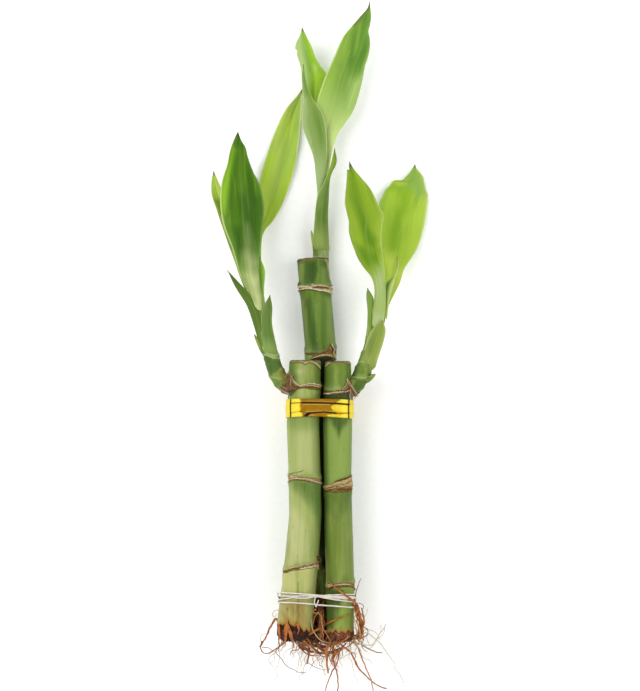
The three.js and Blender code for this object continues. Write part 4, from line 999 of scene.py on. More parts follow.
# Painted marks on the canes' fronts, in the photograph's points. An area is an outline with its strength
# and how soft its edge is, a spot has its half width and height, and a line has its half width. Shade is
# darker green: painted shade down the canes' sides, between them and under the tape and collars, and a
# darker wedge below the left cane's middle node. Deep is nearly black painted shade between the canes and
# under the collars and tape. Brown is dried skin, and a painted shadow line just under the cream rims at the
# tops. Fade is paler skin, and painted light on the canes' lit bands and lit edges. Pale is a dry cream edge,
# and a painted highlight down the right cane's left edge. Dull is yellow-brown and russet is red-brown.
AREAS = {
    "left": [
        ("brown", 0.45, 0.8, [(286, 356), (324, 356), (321.5, 366), (318, 364), (314, 361.5), (309, 360.4),
                              (305, 362.6), (301, 360.8), (288, 360.8)]),
        ("shade", 0.5, 4, [(287, 480), (310, 481), (324, 485), (324, 552), (320, 552), (317, 520), (308, 506),
                           (298, 495), (288, 487)]),
        ("shade", 0.55, 7, [(292, 478), (310, 480), (325, 483), (325, 530), (319, 526), (315, 506),
                            (304, 494)]),
        ("shade", 0.5, 3, [(318, 400), (323, 400), (323, 480), (319.5, 480), (318.5, 440)]),
        ("shade", 0.75, 3.5, [(287, 361), (293, 361), (296, 372), (296, 392), (288, 396)]),
        ("deep", 0.75, 1.2, [(287, 389), (297, 388), (296, 391), (292, 396), (287, 397)]),
        ("shade", 0.7, 2.6, [(316, 364), (323, 364), (323, 397), (317, 397)]),
        ("shade", 0.35, 9, [(280, 412), (330, 412), (328, 426), (300, 430), (280, 424)]),
        ("fade", 0.7, 6, [(289, 506), (298, 510), (306, 526), (307, 550), (302, 562), (287, 564)]),
        ("fade", 0.5, 7, [(294, 430), (314, 430), (315, 474), (294, 468)]),
        ("dull", 0.95, 5, [(282, 600), (306, 602), (310, 628), (280, 632), (279, 610)]),
        ("dull", 0.15, 4, [(282, 540), (290, 545), (300, 566), (283, 569)]),
    ],
    "right": [
        ("brown", 0.45, 0.8, [(322, 356), (355, 356), (352, 362.4), (346, 360.8), (340, 360), (334, 360.6),
                              (329, 362.4), (325, 366)]),
        ("deep", 0.85, 1, [(322, 394.5), (352, 392.5), (352, 400), (322, 400)]),
        ("shade", 1.0, 3.4, [(330, 416), (351, 416), (347, 424), (341.5, 430), (338.8, 437.5), (336, 430),
                             (332, 424)]),
        ("deep", 0.2, 3, [(332, 416), (348, 416), (343, 426), (339, 434), (335, 426)]),
        ("shade", 0.35, 3, [(350, 417), (353, 417), (354, 560), (350.5, 560)]),
        ("shade", 0.6, 2.5, [(323, 400), (327, 400), (328.5, 480), (329, 560), (324, 560)]),
        ("shade", 0.5, 2.5, [(330, 366), (334, 366), (333, 392), (324, 392), (324, 372)]),
        ("shade", 0.6, 2.5, [(344.5, 364), (349, 365), (349, 390), (345, 392)]),
        ("shade", 0.45, 5, [(324, 491), (352, 491), (352, 506), (338, 520), (324, 508)]),
        ("deep", 0.45, 2.5, [(325, 588), (341, 588), (343, 594), (336, 610), (330, 640), (325, 640)]),
        ("shade", 0.75, 3, [(326, 588), (345, 590), (341, 606), (334, 632), (326, 640)]),
        ("fade", 0.4, 4, [(335, 366), (339, 366), (339, 392), (335, 392)]),
        ("fade", 0.4, 6, [(342, 515), (348, 505), (349, 575), (341, 575)]),
    ],
    "back": [
        ("shade", 0.9, 2.5, [(305.5, 263), (316, 261), (318, 270), (314, 284), (305, 285)]),
        ("shade", 0.7, 3, [(305, 298), (311, 298), (320, 356), (313, 358)]),
        ("deep", 0.95, 1.6, [(308, 361), (313, 358.5), (320, 356.5), (331, 356.5), (335, 360), (328, 380),
                             (318, 380)]),
        ("deep", 0.95, 7, [(311, 364), (335, 364), (335, 516), (325, 566), (321, 566), (311, 516)]),
        ("deep", 0.5, 1.5, [(322.5, 556), (330, 556), (330, 600), (323, 600)]),
        ("dull", 0.9, 6, [(310, 598), (330, 598), (330, 640), (310, 640)]),
        ("fade", 0.6, 3, [(298, 262), (303, 262), (303, 285), (299, 285)]),
        ("fade", 0.6, 3, [(300, 300), (304, 300), (311, 356), (306, 356)]),
        ("fade", 0.5, 4, [(321, 268), (327, 268), (328, 284), (321, 284)]),
        ("fade", 0.8, 4, [(326, 298), (333, 298), (337, 346), (330, 346)]),
        ("fade", 0.7, 2, [(313, 566), (321.5, 566), (322, 598), (313, 598)]),
        ("russet", 1.0, 3, [(311, 600), (330, 600), (330, 644), (311, 644)]),
        ("russet", 0.6, 3, [(316, 583), (321, 581), (322, 602), (316, 602)]),
    ],
}
LINES = {
    "left": [
        ("pale", 0.9, 0.8, [(289, 361), (301, 361), (305.5, 363), (309.5, 361), (315, 362.6), (318.5, 365.5),
                            (321, 368.5)]),
        # Painted shadow line just under the cream rim
        ("brown", 0.85, 0.6, [(289, 362.4), (301, 362.4), (305.5, 364.6), (309.5, 362.4), (314.5, 364.2),
                              (317.5, 367), (320.5, 370.5)]),
        ("brown", 0.4, 0.5, [(290, 359.6), (300, 359.4), (310, 359.2), (318, 359.8)]),
        ("brown", 0.7, 0.5, [(287.4, 478), (289.6, 474.4), (293.5, 473), (298, 472), (301.5, 471.6),
                             (303, 470.4)]),
        ("pale", 0.5, 0.6, [(290, 476.5), (293.5, 474.6), (298, 470.6), (301.5, 470.2)]),
        ("brown", 0.7, 0.5, [(298.3, 567.6), (300.6, 569.4), (305, 568.8), (309, 568), (313, 568.2)]),
        ("brown", 0.35, 1.4, [(297.5, 606), (298.5, 615), (297, 624)]),
        ("brown", 0.4, 0.9, [(298, 583), (297.5, 596)]),
    ],
    "right": [
        ("pale", 0.9, 0.8, [(325.5, 366), (329, 362.6), (334, 361), (340, 360.4), (346, 361.4), (350, 363)]),
        # Painted shadow line just under the cream rim
        ("brown", 0.85, 0.6, [(326, 367.6), (329.6, 364.4), (334, 362.6), (340, 362), (346, 363),
                              (350, 364.6)]),
        ("brown", 0.4, 0.5, [(335, 359.8), (342, 359.6), (348, 360.2)]),
        # Painted highlight down the right cane's left edge
        ("pale", 0.75, 0.45, [(325.6, 548), (326.4, 567), (326.6, 586)]),
    ],
    "back": [
        # Painted shadow line just under the cream rim
        ("brown", 0.8, 0.8, [(297.6, 261.6), (300, 260), (306, 258.9), (312, 257.9), (319, 257.3),
                             (324, 258.6)]),
        ("pale", 0.8, 0.5, [(312, 256.6), (319, 256.4), (324, 257.4), (327, 260)]),
        ("pale", 0.85, 0.5, [(324, 258.2), (326.8, 261), (328, 266), (328.6, 271)]),
        ("pale", 0.4, 0.45, [(328.6, 271), (329, 276)]),
        ("pale", 0.2, 0.4, [(329, 276), (329.4, 281)]),
        ("brown", 0.35, 1.6, [(299.5, 262.5), (306, 262), (312, 261.4)]),
    ],
}
SPOTS = {
    "left": [
        ("brown", 0.7, 1.5, 2.2, (318, 558.5)), ("deep", 0.6, 1.0, 3.2, (319, 563)),
        ("brown", 0.45, 1.3, 8, (298.3, 600)), ("brown", 0.3, 0.8, 6, (293.5, 610)),
        ("brown", 0.8, 0.5, 0.5, (304.6, 549)), ("brown", 0.6, 0.4, 0.4, (297.3, 556.5)),
        ("brown", 0.5, 0.4, 0.4, (300.5, 552.6)), ("brown", 0.6, 0.5, 0.5, (303.4, 562.2)),
        ("brown", 0.5, 0.5, 0.7, (287, 566)), ("brown", 0.5, 0.5, 1.6, (315.6, 571)),
        ("brown", 0.5, 0.4, 0.4, (303, 447)), ("brown", 0.5, 0.4, 0.6, (293, 527)),
        ("brown", 0.6, 0.9, 0.9, (287.5, 609)), ("fade", 0.5, 5, 3, (299, 372)),
    ],
    "right": [
        ("brown", 0.7, 0.7, 0.9, (345.5, 620)), ("brown", 0.7, 0.8, 0.6, (340.5, 628)),
        ("deep", 0.5, 0.5, 1.3, (348.5, 494.5)), ("deep", 0.4, 0.5, 0.9, (336, 493.6)),
        ("deep", 0.4, 0.4, 0.8, (343, 492.6)), ("deep", 0.35, 0.4, 0.9, (329.5, 496)),
        ("brown", 0.5, 0.4, 0.5, (344, 450)), ("brown", 0.4, 0.4, 0.7, (335, 540)),
        ("brown", 0.5, 0.4, 0.5, (352.6, 563)), ("fade", 0.5, 6, 3, (333, 388)),
    ],
    "back": [
        ("brown", 0.5, 0.6, 0.9, (311.5, 327)), ("brown", 0.45, 3, 1.6, (324, 349)),
        ("brown", 0.35, 0.5, 0.9, (325, 338)), ("deep", 0.5, 1.2, 1.2, (299.5, 283)),
        ("brown", 0.35, 2, 4, (306, 305)),
    ],
}
PAINTS = ("shade", "deep", "brown", "fade", "pale", "dull", "russet")


def paint(side, points):
    """A cane's painted marks at its points, none of them on the underside."""
    marks = painted(*photo_point(points), PAINTS, AREAS[side], LINES[side], SPOTS[side])
    front = smoothstep(points[:, 2], CANES[side]["z"] - 3, CANES[side]["z"])
    return {kind: values * front for kind, values in marks.items()}


def cane_material(name, segments, light, shade, deep, sides):
    """Smooth green cane skin, with painted marks, painted side shade, faint node rings and worn brown ends.
    """
    skin = Finish(name, roughness=0.4, Specular_IOR_Level=0.13)
    here = skin.millimetres()
    broad = skin.noise(skin.scaled(here, 0.2, 0.016, 0.2), 1.0, 2.0, 0.5)
    lines = skin.noise(skin.scaled(here, 0.75, 0.025, 0.75), 1.0, 3.0, 0.6)
    thread = skin.noise(skin.scaled(here, 4.5, 0.12, 4.5), 1.0, 2.0, 0.5)
    blotch = skin.noise(skin.scaled(here, 0.3, 0.09, 0.3), 1.0, 3.0, 0.6)
    stops = [(i / (len(segments) - 1), code) for i, code in enumerate(segments)]
    base = skin.ramp(skin.attribute("segment"), stops)
    # Fade: paler skin, and painted light on the canes' lit bands and lit edges
    base = skin.mix(skin.attribute("fade"), base, light)
    base = skin.mix(skin.fade(broad, 0.5, 0.68, 0.0, 0.28), base, light)
    base = skin.mix(skin.fade(broad, 0.5, 0.32, 0.0, 0.3), base, shade)
    base = skin.mix(skin.fade(lines, 0.55, 0.75, 0.0, 0.3), base, shade)
    base = skin.mix(skin.fade(blotch, 0.56, 0.72, 0.0, 0.22), base, "b0b45c")
    base = skin.shade(skin.fade(thread, 0.4, 0.62, 0.0, 0.25), base, 0.88)
    from_root, from_top, side = skin.parts(skin.attribute("ends", "Vector"))
    # Painted shade: each cane darker down its left and right sides, as the light falls off round it
    base = skin.shade(skin.fade(side, 0.3, 0.95, 0.0, sides[1]), base, 0.55)
    base = skin.shade(skin.fade(side, -0.5, -1.0, 0.0, sides[0]), base, 0.6)
    # Painted shade: the shade marks turn the skin darker green, a little uneven along its lines
    uneven = skin.math("MULTIPLY", skin.attribute("shade"), skin.fade(lines, 0.3, 0.65, 0.75, 1.1), True)
    base = skin.mix(uneven, base, shade)
    dull = skin.math("MULTIPLY", skin.attribute("dull"), skin.fade(blotch, 0.35, 0.6, 0.55, 1.0), True)
    base = skin.mix(dull, base, "a08a48")
    # Painted shade: nearly black between the canes and under the collars and tape
    base = skin.mix(skin.attribute("deep"), base, deep)
    russet = skin.mix(skin.fade(thread, 0.4, 0.6), "3a1a0e", "6e3a22")
    base = skin.mix(skin.attribute("russet"), base, russet)

    marks = []
    for near in skin.parts(skin.attribute("nodes", "Vector")):
        ring = skin.fade(skin.math("ABSOLUTE", skin.math("SUBTRACT", near, 2.5)), 0.32, 0.1, 0.0, 0.55)
        groove = skin.fade(skin.math("ABSOLUTE", near), 0.85, 0.3)
        pale = skin.math("MULTIPLY", skin.fade(near, 0.3, 0.9), skin.fade(near, 3.4, 1.2))
        marks.append((ring, groove, pale))
    broken = skin.fade(skin.noise(here, 0.4, 2.0), 0.46, 0.62)
    ring, groove, pale = (reduce(lambda a, b: skin.math("MAXIMUM", a, b), group) for group in zip(*marks))
    base = skin.mix(skin.math("MULTIPLY", pale, 0.3), base, "b5b878")
    base = skin.mix(skin.math("MULTIPLY", ring, broken), base, "7d7040")
    base = skin.mix(skin.math("MULTIPLY", groove, 0.85), base, "5e4a28")

    specks = skin.node("ShaderNodeTexVoronoi", {"Vector": skin.scaled(here, 0.42, 0.26, 0.42), "Scale": 1.0})
    dots = skin.math("MULTIPLY", skin.fade(specks, 0.12, 0.05), broken)
    base = skin.mix(skin.math("MULTIPLY", dots, 0.3), base, "d5d8a0")
    flecks = skin.node("ShaderNodeTexVoronoi", {"Vector": skin.scaled(here, 0.2, 0.11, 0.2), "Scale": 1.0})
    base = skin.mix(skin.fade(flecks, 0.08, 0.04, 0.0, 0.55), base, "5a4a24")
    # Pale: dry cream edges, and a painted highlight down the right cane's left edge
    base = skin.mix(skin.math("MULTIPLY", skin.attribute("pale"), 0.9), base, "cdbf90")
    # Brown: dried skin, and painted shadow lines under the cream rims at the tops
    dried_and_shadow = skin.math("MULTIPLY", skin.attribute("brown"), skin.fade(thread, 0.3, 0.6, 0.7, 1.2), True)
    base = skin.mix(dried_and_shadow, base, "5c3f20")

    ragged = skin.noise(skin.scaled(here, 0.5, 0.2, 0.5), 1.0, 3.0)
    torn = skin.math("ADD", from_root, skin.fade(ragged, 0.3, 0.7, -0.5, 0.5))
    base = skin.mix(skin.fade(torn, 3.6, 1.2, 0.0, 0.8), base, "a08c40")
    base = skin.mix(skin.fade(torn, 1.5, 0.6, 0.0, 0.9), base, "a8682c")
    base = skin.mix(skin.fade(torn, 0.5, 0.1, 0.0, 0.9), base, "4e2a14")
    rim = skin.math("ADD", from_top, skin.fade(ragged, 0.3, 0.7, -0.3, 0.4))
    base = skin.mix(skin.fade(rim, 1.5, 0.9, 0.0, 0.6), base, "8a8252")
    base = skin.mix(skin.fade(rim, 0.75, 0.35, 0.0, 0.9), base, "5c3a28")
    pith = skin.noise(here, 1.3, 3.0, 0.6)
    face = skin.ramp(pith, [(0.3, "6e5430"), (0.48, "a08852"), (0.7, "c4b07a")])
    face = skin.mix(skin.fade(skin.attribute("cut"), 0.45, 0.95, 0.0, 0.5), face, "8a7440")
    base = skin.mix(skin.fade(skin.attribute("cut"), 0.02, 0.12), base, face)
    skin.set("Base Color", base)

    # Rougher at the torn end and rim and on the pale and brown marks, painted highlight and shadow lines
    # among them
    dry = skin.math("MAXIMUM", skin.fade(torn, 2.5, 1), skin.fade(rim, 1.0, 0.4))
    dry = skin.math("MAXIMUM", dry, skin.math("MAXIMUM", skin.attribute("pale"), skin.attribute("brown")))
    gloss = skin.fade(lines, 0.3, 0.7, 0.34, 0.44)
    skin.set("Roughness", skin.math("ADD", gloss, skin.math("MULTIPLY", dry, 0.35)))
    under = skin.bump(thread, 0.04)
    skin.set("Normal", skin.bump(lines, 0.06, under))
    return skin.material


# Screen colours from the top segment to the lowest, then pale skin, which the painted light also uses, dark
# skin, which the painted shade also uses, the nearly black of the painted deep shade, and how far painted
# shade darkens the left and right sides
CANE_COLOURS = {
    "left": dict(segments=["82963c", "9eb05a", "a0b05e", "c0c476"],
                 light="c8ca8c", shade="5c7a32", deep="2a3a14", sides=(0.05, 0.7)),
    "right": dict(segments=["748e2c", "8ca54c", "708632", "8ca044"],
                  light="a6bb62", shade="4e6a28", deep="1f3212", sides=(0.2, 0.2)),
    "back": dict(segments=["56741f", "587a20", "8eb24c"],
                 light="96b056", shade="355416", deep="223212", sides=(0.8, 0.3)),
}

for order, (cane_side, cane_shape) in enumerate(CANES.items()):
    cane_skin = cane_material(f"cane_{cane_side}_green", **CANE_COLOURS[cane_side])
    cane_piece(cane_side, cane_shape, cane_skin, seed=31 + order)


# Papery collars

# What is left of each node's sheath on the cane's front, in the photograph's points. Tone runs from dark
# brown (0) to cream (1). A patch lies between an upper and a lower line, and a strand has its half width
# in millimetres.
COLLARS = {
    "collar_left_1": dict(
        patches=[(0.5, [(295, 384.8), (301, 385.4), (307, 384.8), (313, 384.6), (321, 386.8)],
                  [(295, 388.6), (301, 387.2), (307, 386.5), (313, 386.5), (321, 389.2)])],
        strands=[(0.8, 0.3, [(292, 379.5), (296, 383), (300, 385.3), (306, 384.2), (312.5, 383.6),
                             (321, 385.8)]),
                 (0.2, 0.32, [(291, 389.5), (296, 389), (301, 387.8), (307, 387.1), (313, 387.2),
                              (321, 389.8)]),
                 (0.7, 0.26, [(299, 386.6), (306, 385.8), (313, 385.7), (320, 387.6)])]),
    "collar_left_2": dict(
        patches=[(0.72, [(288, 478.5), (291, 475), (296, 476), (305, 477.4), (313, 478.6), (322, 480.6)],
                  [(288, 482), (291.5, 479.9), (297, 479.5), (305, 480.3), (313, 482), (322, 484.8)])],
        strands=[(0.3, 0.24, [(287.6, 482.6), (291.5, 480.2), (297, 479.8), (305, 480.6), (313, 482.3),
                              (322, 485)]),
                 (0.9, 0.3, [(290, 479), (297, 478.4), (305, 479), (313, 480.6), (321.5, 483.4)]),
                 (0.4, 0.24, [(296, 477), (305, 477.4), (313, 478.4), (321, 480.4)]),
                 (0.1, 0.4, [(319.6, 479.8), (321.4, 481)])]),
    "collar_left_3": dict(
        patches=[(0.6, [(304, 564.4), (309, 563.4), (314, 562.6), (319, 561)],
                  [(304, 567), (309, 567.6), (314, 567.6), (319, 569)])],
        strands=[(0.36, 0.2, [(283, 571), (286, 570), (292, 568.2), (300, 566.3), (307, 564.6), (314, 563),
                               (320, 559.6)]),
                 (0.7, 0.26, [(284, 570.6), (288, 568.8), (294, 567.2), (301, 565.2), (308, 563.6),
                              (315, 562)]),
                 (0.9, 0.36, [(299.5, 568.2), (303, 568.2), (308, 567), (313, 566.6)]),
                 (0.7, 0.32, [(314, 564.6), (316.5, 566.6), (319, 569.6)]),
                 (0.05, 0.9, [(317, 556.6), (318.6, 560), (319.6, 565)])]),
    "collar_right_1": dict(
        patches=[(0.6, [(323.6, 392.6), (330, 392.6), (337, 391.4), (344, 390.6), (352, 388)],
                  [(323.6, 394.4), (330, 394.4), (337, 393.6), (344, 393), (352, 392.6)])],
        strands=[(0.9, 0.32, [(323.4, 393), (327, 393.9), (333, 392.6), (340, 392), (346, 391.4),
                              (351, 390)]),
                 (0.15, 0.26, [(323.4, 394.4), (327, 395), (333, 394.2), (340, 393.6), (346, 393.2),
                               (351, 393)])]),
    "collar_right_2": dict(
        patches=[(0.6, [(323.6, 486.4), (328, 484.6), (333, 482.8), (339, 480.8), (345, 478.8), (352, 475.4)],
                  [(323.6, 490.8), (328, 490.2), (333, 489), (340, 489), (346, 489), (353, 489.6)])],
        strands=[(0.1, 0.26, [(334, 482), (339, 480.2), (344, 478.6), (348, 477.8), (352, 474.6)]),
                 (0.3, 0.3, [(324, 489), (330, 487.6), (336, 485.8), (341, 487.4), (346, 486.8),
                             (352, 488.2)]),
                 (0.7, 0.28, [(324.4, 487.2), (330, 485.8), (336, 484.4), (342, 485.6), (348, 484.6),
                              (352, 485.8)]),
                 (0.2, 0.32, [(323.4, 491), (328, 490.4), (333, 489.2), (340, 489.4), (346, 489.3),
                              (353, 489.8)])]),
    "collar_right_3": dict(
        patches=[(0.68, [(329, 583.6), (334, 584), (340, 583.4), (346, 583), (354, 584.4)],
                  [(327, 588.6), (334, 586.2), (340, 585.6), (346, 585.8), (355, 588)])],
        strands=[(0.35, 0.28, [(328.6, 582.4), (334, 583.8), (340, 583.2), (346, 582.8), (353, 583.8)]),
                 (0.18, 0.38, [(326, 590), (329.6, 588.4), (334, 586.2), (340, 585.6), (347, 585.9),
                               (352, 586.4), (355.4, 590)]),
                 (0.85, 0.26, [(330, 586.4), (335, 585), (341, 584.4), (347, 584.4), (353, 585.4)])]),
    "collar_back_1": dict(
        patches=[(0.7, [(298, 286.6), (304, 285.8), (311, 286.2), (317, 285), (324, 285.6), (333, 288)],
                  [(298, 291.8), (303, 289.6), (309, 288.8), (316, 289.8), (324, 291), (332, 294.4)])],
        strands=[(0.85, 0.5, [(297.6, 287.6), (303, 286.6), (308, 286.8), (313, 288.2)]),
                 (0.95, 0.45, [(298, 291), (302, 289.2), (308, 288.3), (314, 289), (320, 290.3), (327, 291.4),
                               (332.6, 294.6)]),
                 (0.8, 0.34, [(311.6, 287), (317, 285.2), (323, 285.6), (328, 286.8), (333.6, 289.4)]),
                 (0.15, 0.3, [(298, 292.2), (302, 290.2), (308, 289.4), (314, 290.1), (320, 291.4),
                              (326, 292.2)]),
                 (0.25, 0.36, [(315, 286.9), (320, 286.8), (325, 287.6), (329, 289)]),
                 (0.9, 0.3, [(330, 287.6), (332.4, 285.6), (334.4, 284.6)]),
                 (0.75, 0.3, [(331, 290), (333.6, 289), (335.6, 286.8)]),
                 (0.3, 0.3, [(299, 286), (299.6, 283.4), (300.4, 281.8)]),
                 (0.8, 0.3, [(311.8, 286.4), (313, 284.4), (314.4, 286.6)])]),
    "collar_back_2": dict(
        patches=[(0.45, [(312.6, 357.2), (317, 355), (321, 353.4), (326, 351.2), (329, 347), (331, 343.6),
                         (333, 348.6), (335.4, 357.4)],
                  [(312.6, 359.6), (317, 357.8), (321, 357), (326, 356.8), (329.4, 357.4), (331.4, 358),
                   (333, 358.6), (335.4, 360)])],
        strands=[(0.85, 0.34, [(312, 358.6), (317, 356.6), (322, 355.3), (327, 355.2), (331, 356.6)]),
                 (0.12, 0.34, [(311, 359.8), (314, 358.6), (318, 357.4), (323, 356.9), (328, 357.2)]),
                 (0.3, 0.3, [(311, 358.4), (316, 355), (321, 353.2), (326, 351), (329, 347.4), (330.6, 343)]),
                 (0.95, 0.36, [(330.8, 343.4), (332.2, 346.4), (333.4, 350.4), (333.6, 354.4), (336, 359.6)]),
                 (0.1, 0.42, [(330.4, 345.6), (331.6, 349.4), (332, 352.6)])]),
}
COLLAR_STEPS = 200
COLLAR_SIDES = 10
COLLAR_RADIUS = 0.32
PATCH_ROWS = 8
PATCH_COLS = 60
PATCH_THICKNESS = 0.14
THREAD_SIDES = 8
THREAD_LEAST = 0.08


def paper_material():
    """Dry sheath left at a node, from dark brown to cream, with fibres and worn edges."""
    paper = Finish("dry_sheath", roughness=0.85, Specular_IOR_Level=0.15)
    here = paper.millimetres()
    fibres = paper.noise(paper.scaled(here, 0.9, 2.6, 1.2), 1.0, 4.0, 0.65)
    patches = paper.noise(here, 0.5, 3.0)
    tone = paper.math("ADD", paper.attribute("tone"), paper.fade(fibres, 0.3, 0.7, -0.22, 0.2))
    base = paper.ramp(tone, [(0.0, "3a240e"), (0.25, "80561f"), (0.5, "a8884c"), (0.75, "cfbf90"),
                             (1.0, "e8e0bf")])
    base = paper.mix(paper.fade(patches, 0.54, 0.7, 0.0, 0.35), base, "9c6a2e")
    base = paper.mix(paper.fade(patches, 0.44, 0.32, 0.0, 0.4), base, "8a8458")
    specks = paper.noise(here, 2.6, 2.0, 0.7)
    base = paper.shade(paper.fade(specks, 0.5, 0.64, 0.0, 0.6), base, 0.6)
    base = paper.mix(paper.attribute("mauve"), base, "8f6a60")
    paper.set("Base Color", base)
    paper.set("Normal", paper.bump(fibres, 0.15))
    return paper.material


PAPER = paper_material()


def on_cane(cane, px, py, lift):
    """Points on a cane's front that the photograph shows at px and py, raised by lift. The height that
    the skin has there is found step by step."""
    z = np.full_like(px, cane["z"])
    for _ in range(5):
        spot = at(px, py, z)
        x, radius = axis_at(cane, spot[..., 1])
        angle = np.arccos(np.clip((spot[..., 0] - x) / (radius + 0.4), -1, 1))
        z = cane["z"] + radius * np.sin(angle)
    return cane_surface(cane, spot[..., 1], angle, lift)


def add_patch(pile, cane, tone, upper, lower, random, mauve):
    """A papery sheet on the cane between two lines, with ragged edges and a slightly lifted top."""
    share = np.linspace(0, 1, PATCH_COLS + 1)
    upper, lower = resample(catmull_rom(upper), share), resample(catmull_rom(lower), share)
    rows = np.linspace(0, 1, PATCH_ROWS + 1)[:, None]
    ragged = [waves(share * 40, random, (9, 4.1, 1.9), 0.5) for _ in range(2)]
    px = lerp(upper[:, 0], lower[:, 0], rows)
    py = lerp(upper[:, 1] + ragged[0], lower[:, 1] + 0.5 * ragged[1], rows)
    folds = 0.07 * np.sin(rows * 9 + 3 * np.sin(share * 5))
    lift = 0.12 + 0.25 * (1 - rows) ** 2 + folds + waves(share * 40, random, (6, 2.3), 0.06)
    sheet = [on_cane(cane, px, py, lift + extra) for extra in (PATCH_THICKNESS, 0)]
    tones = tone + 0.16 * np.sin(rows * 13 + 2 * np.sin(share * 7)) - 0.3 * (np.abs(2 * rows - 1) > 0.95)
    pile.add(np.vstack([layer.reshape(-1, 3) for layer in sheet]), closed_sheet(PATCH_ROWS, PATCH_COLS),
             tone=np.tile(np.broadcast_to(tones, px.shape).ravel(), 2), mauve=mauve)


def add_strand(pile, cane, tone, half, line, random):
    """A thin, uneven strand of dry sheath that lies along a line on the cane, with tapered ends."""
    route = catmull_rom(line)
    count = max(8, int(arc_lengths(route)[-1] * 2))
    share = np.linspace(0, 1, count)
    route = resample(route, share)
    route[:, 1] += waves(share * count, random, (17, 7), 0.16)
    lying = on_cane(cane, route[:, 0], route[:, 1], 0.3 + 0.6 * half)
    taper = 0.45 + 0.55 * smoothstep(np.minimum(share, 1 - share), 0, 0.12)
    radii = half * taper * (1 + waves(share * count, random, (8, 3.1), 0.25))
    rings = rings_along(lying, np.maximum(radii, THREAD_LEAST), THREAD_SIDES)
    pile.add(with_hubs(rings), tube_faces(count, THREAD_SIDES), tone=tone, mauve=0.0)


def add_sheath(pile, cane, parts, random, mauve=0.0):
    """The patches and strands that are left of a sheath on a cane."""
    for tone, upper, lower in parts["patches"]:
        add_patch(pile, cane, tone, upper, lower, random, mauve)
    for tone, half, line in parts["strands"]:
        add_strand(pile, cane, tone, half, line, random)


def add_ring(pile, cane, i, random):
    """The sheath's seam, all the way round in the node's groove."""
    angle = full_turn(COLLAR_STEPS)
    around = full_turn(COLLAR_SIDES)
    radius = COLLAR_RADIUS * (1 + waves(angle / (2 * np.pi), random, (1 / 5, 1 / 13, 1 / 29), 0.25))[:, None]
    line = node_line(cane, i, angle)[:, None] + radius * np.sin(around)
    lift = 0.25 + radius * np.cos(around)
    ring = cane_surface(cane, line, np.broadcast_to(angle[:, None], line.shape), lift)
    faces = tube_faces(COLLAR_STEPS, COLLAR_SIDES, closed=True)
    pile.add(ring.reshape(-1, 3), faces, tone=0.35, mauve=0.0)


def collar_piece(name, collar, random):
    _, side, number = name.split("_")
    pile = Pile()
    add_ring(pile, CANES[side], int(number) - 1, random)
    add_sheath(pile, CANES[side], collar, random)
    pile.piece(f"{name}_paper", PAPER, "papery_collar", [name])


collar_random = random_from(7)
for collar_name, collar_shape in COLLARS.items():
    collar_piece(collar_name, collar_shape, collar_random)


# Shoot stems

# Centre lines in the photograph's x and y with the height, and radii from the cane to the tip. Each scale
# is a pointed sheath at the stem's side: where it starts, its tip, its half width, and its height over
# the line between them. Rings are the leaf scars round the stem, as shares of its length
STEMS = {
    "left": dict(
        path=[(298, 388, 25.4), (287, 385, 25), (280, 378.5, 24.6), (274, 366, 24.2), (270.5, 352, 23.8),
              (266.5, 337, 23.4), (262.5, 320, 22.8), (259, 303, 22)],
        radii=[4.2, 4.2, 4.3, 4.2, 4, 3.3, 2.4, 1.4],
        rings=[0.2, 0.29, 0.46, 0.6],
        scales=[((266, 357, 24), (254, 334, 24.5), 1.4)]),
    "center": dict(
        path=[(321, 276, 5.4), (321, 258, 5.6), (321.2, 238, 6.6), (321.5, 218, 8), (322, 198, 9.2),
              (323, 178, 10)],
        radii=[3.6, 4.1, 4, 3.4, 2.6, 1.6],
        rings=[0.3],
        scales=[((316, 254, 8), (311, 230, 9), 1.2)]),
    "right": dict(
        path=[(340, 391, 24.2), (351, 388, 24.4), (358.5, 380, 24.4), (364, 368, 24.2), (369, 354, 23.8),
              (373, 338, 23.4), (377, 320, 22.6), (380, 303, 21.6)],
        radii=[4.2, 4.3, 4.4, 4.3, 4, 3.3, 2.4, 1.4],
        rings=[0.2, 0.34, 0.5],
        scales=[((364, 382, 26.6), (375.6, 374, 26.8), 1.7)]),
}
STEM_SIDES = 60
STEM_STEP = 0.5
SCALE_ROWS = 26
SCALE_COLS = 12
SCALE_THICKNESS = 0.35
STEM_PAINTS = ("shade", "pale", "seam", "foot")

# Painted marks on the stems, in the photograph's points. Pale is paler green, and a painted highlight down
# the right stem's side
STEM_AREAS = {
    "left": [
        ("shade", 0.85, 1.6, [(262, 356.4), (268, 357.4), (274, 360), (280, 360.6), (281, 366), (277, 372),
                              (270, 374.6), (264, 368)]),
        ("shade", 0.5, 1.6, [(270, 378.2), (276, 379.6), (281, 381), (280.6, 387), (275, 385)]),
        ("shade", 0.5, 2.0, [(266, 366), (271, 368), (272, 376), (268, 376)]),
        ("pale", 0.7, 2.0, [(262, 346), (274, 348), (280, 356), (274, 357), (266, 354.6)]),
        ("foot", 0.9, 2.6, [(279, 369), (284, 369.6), (290, 376), (289, 384), (283, 385), (280, 378)]),
    ],
    "center": [
        ("shade", 0.8, 1.2, [(311, 246), (316, 246), (319.4, 258), (311, 258)]),
        ("pale", 0.6, 2.0, [(318, 220), (324, 224), (332, 240), (332, 258), (320, 258)]),
    ],
    "right": [
        ("shade", 0.95, 1.4, [(356.4, 379.6), (366, 379.8), (369, 382.4), (363.6, 388.6), (357, 392),
                              (353.6, 386)]),
        ("shade", 0.5, 2.0, [(354, 368), (360, 364.4), (366, 366), (364, 374), (355, 375)]),
        # Painted highlight down the right stem's side
        ("pale", 0.7, 1.4, [(368.6, 343), (373, 343), (371, 364), (366.6, 362)]),
        ("foot", 0.8, 2.0, [(348.6, 379), (353, 380.6), (356, 391), (350, 392)]),
    ],
}
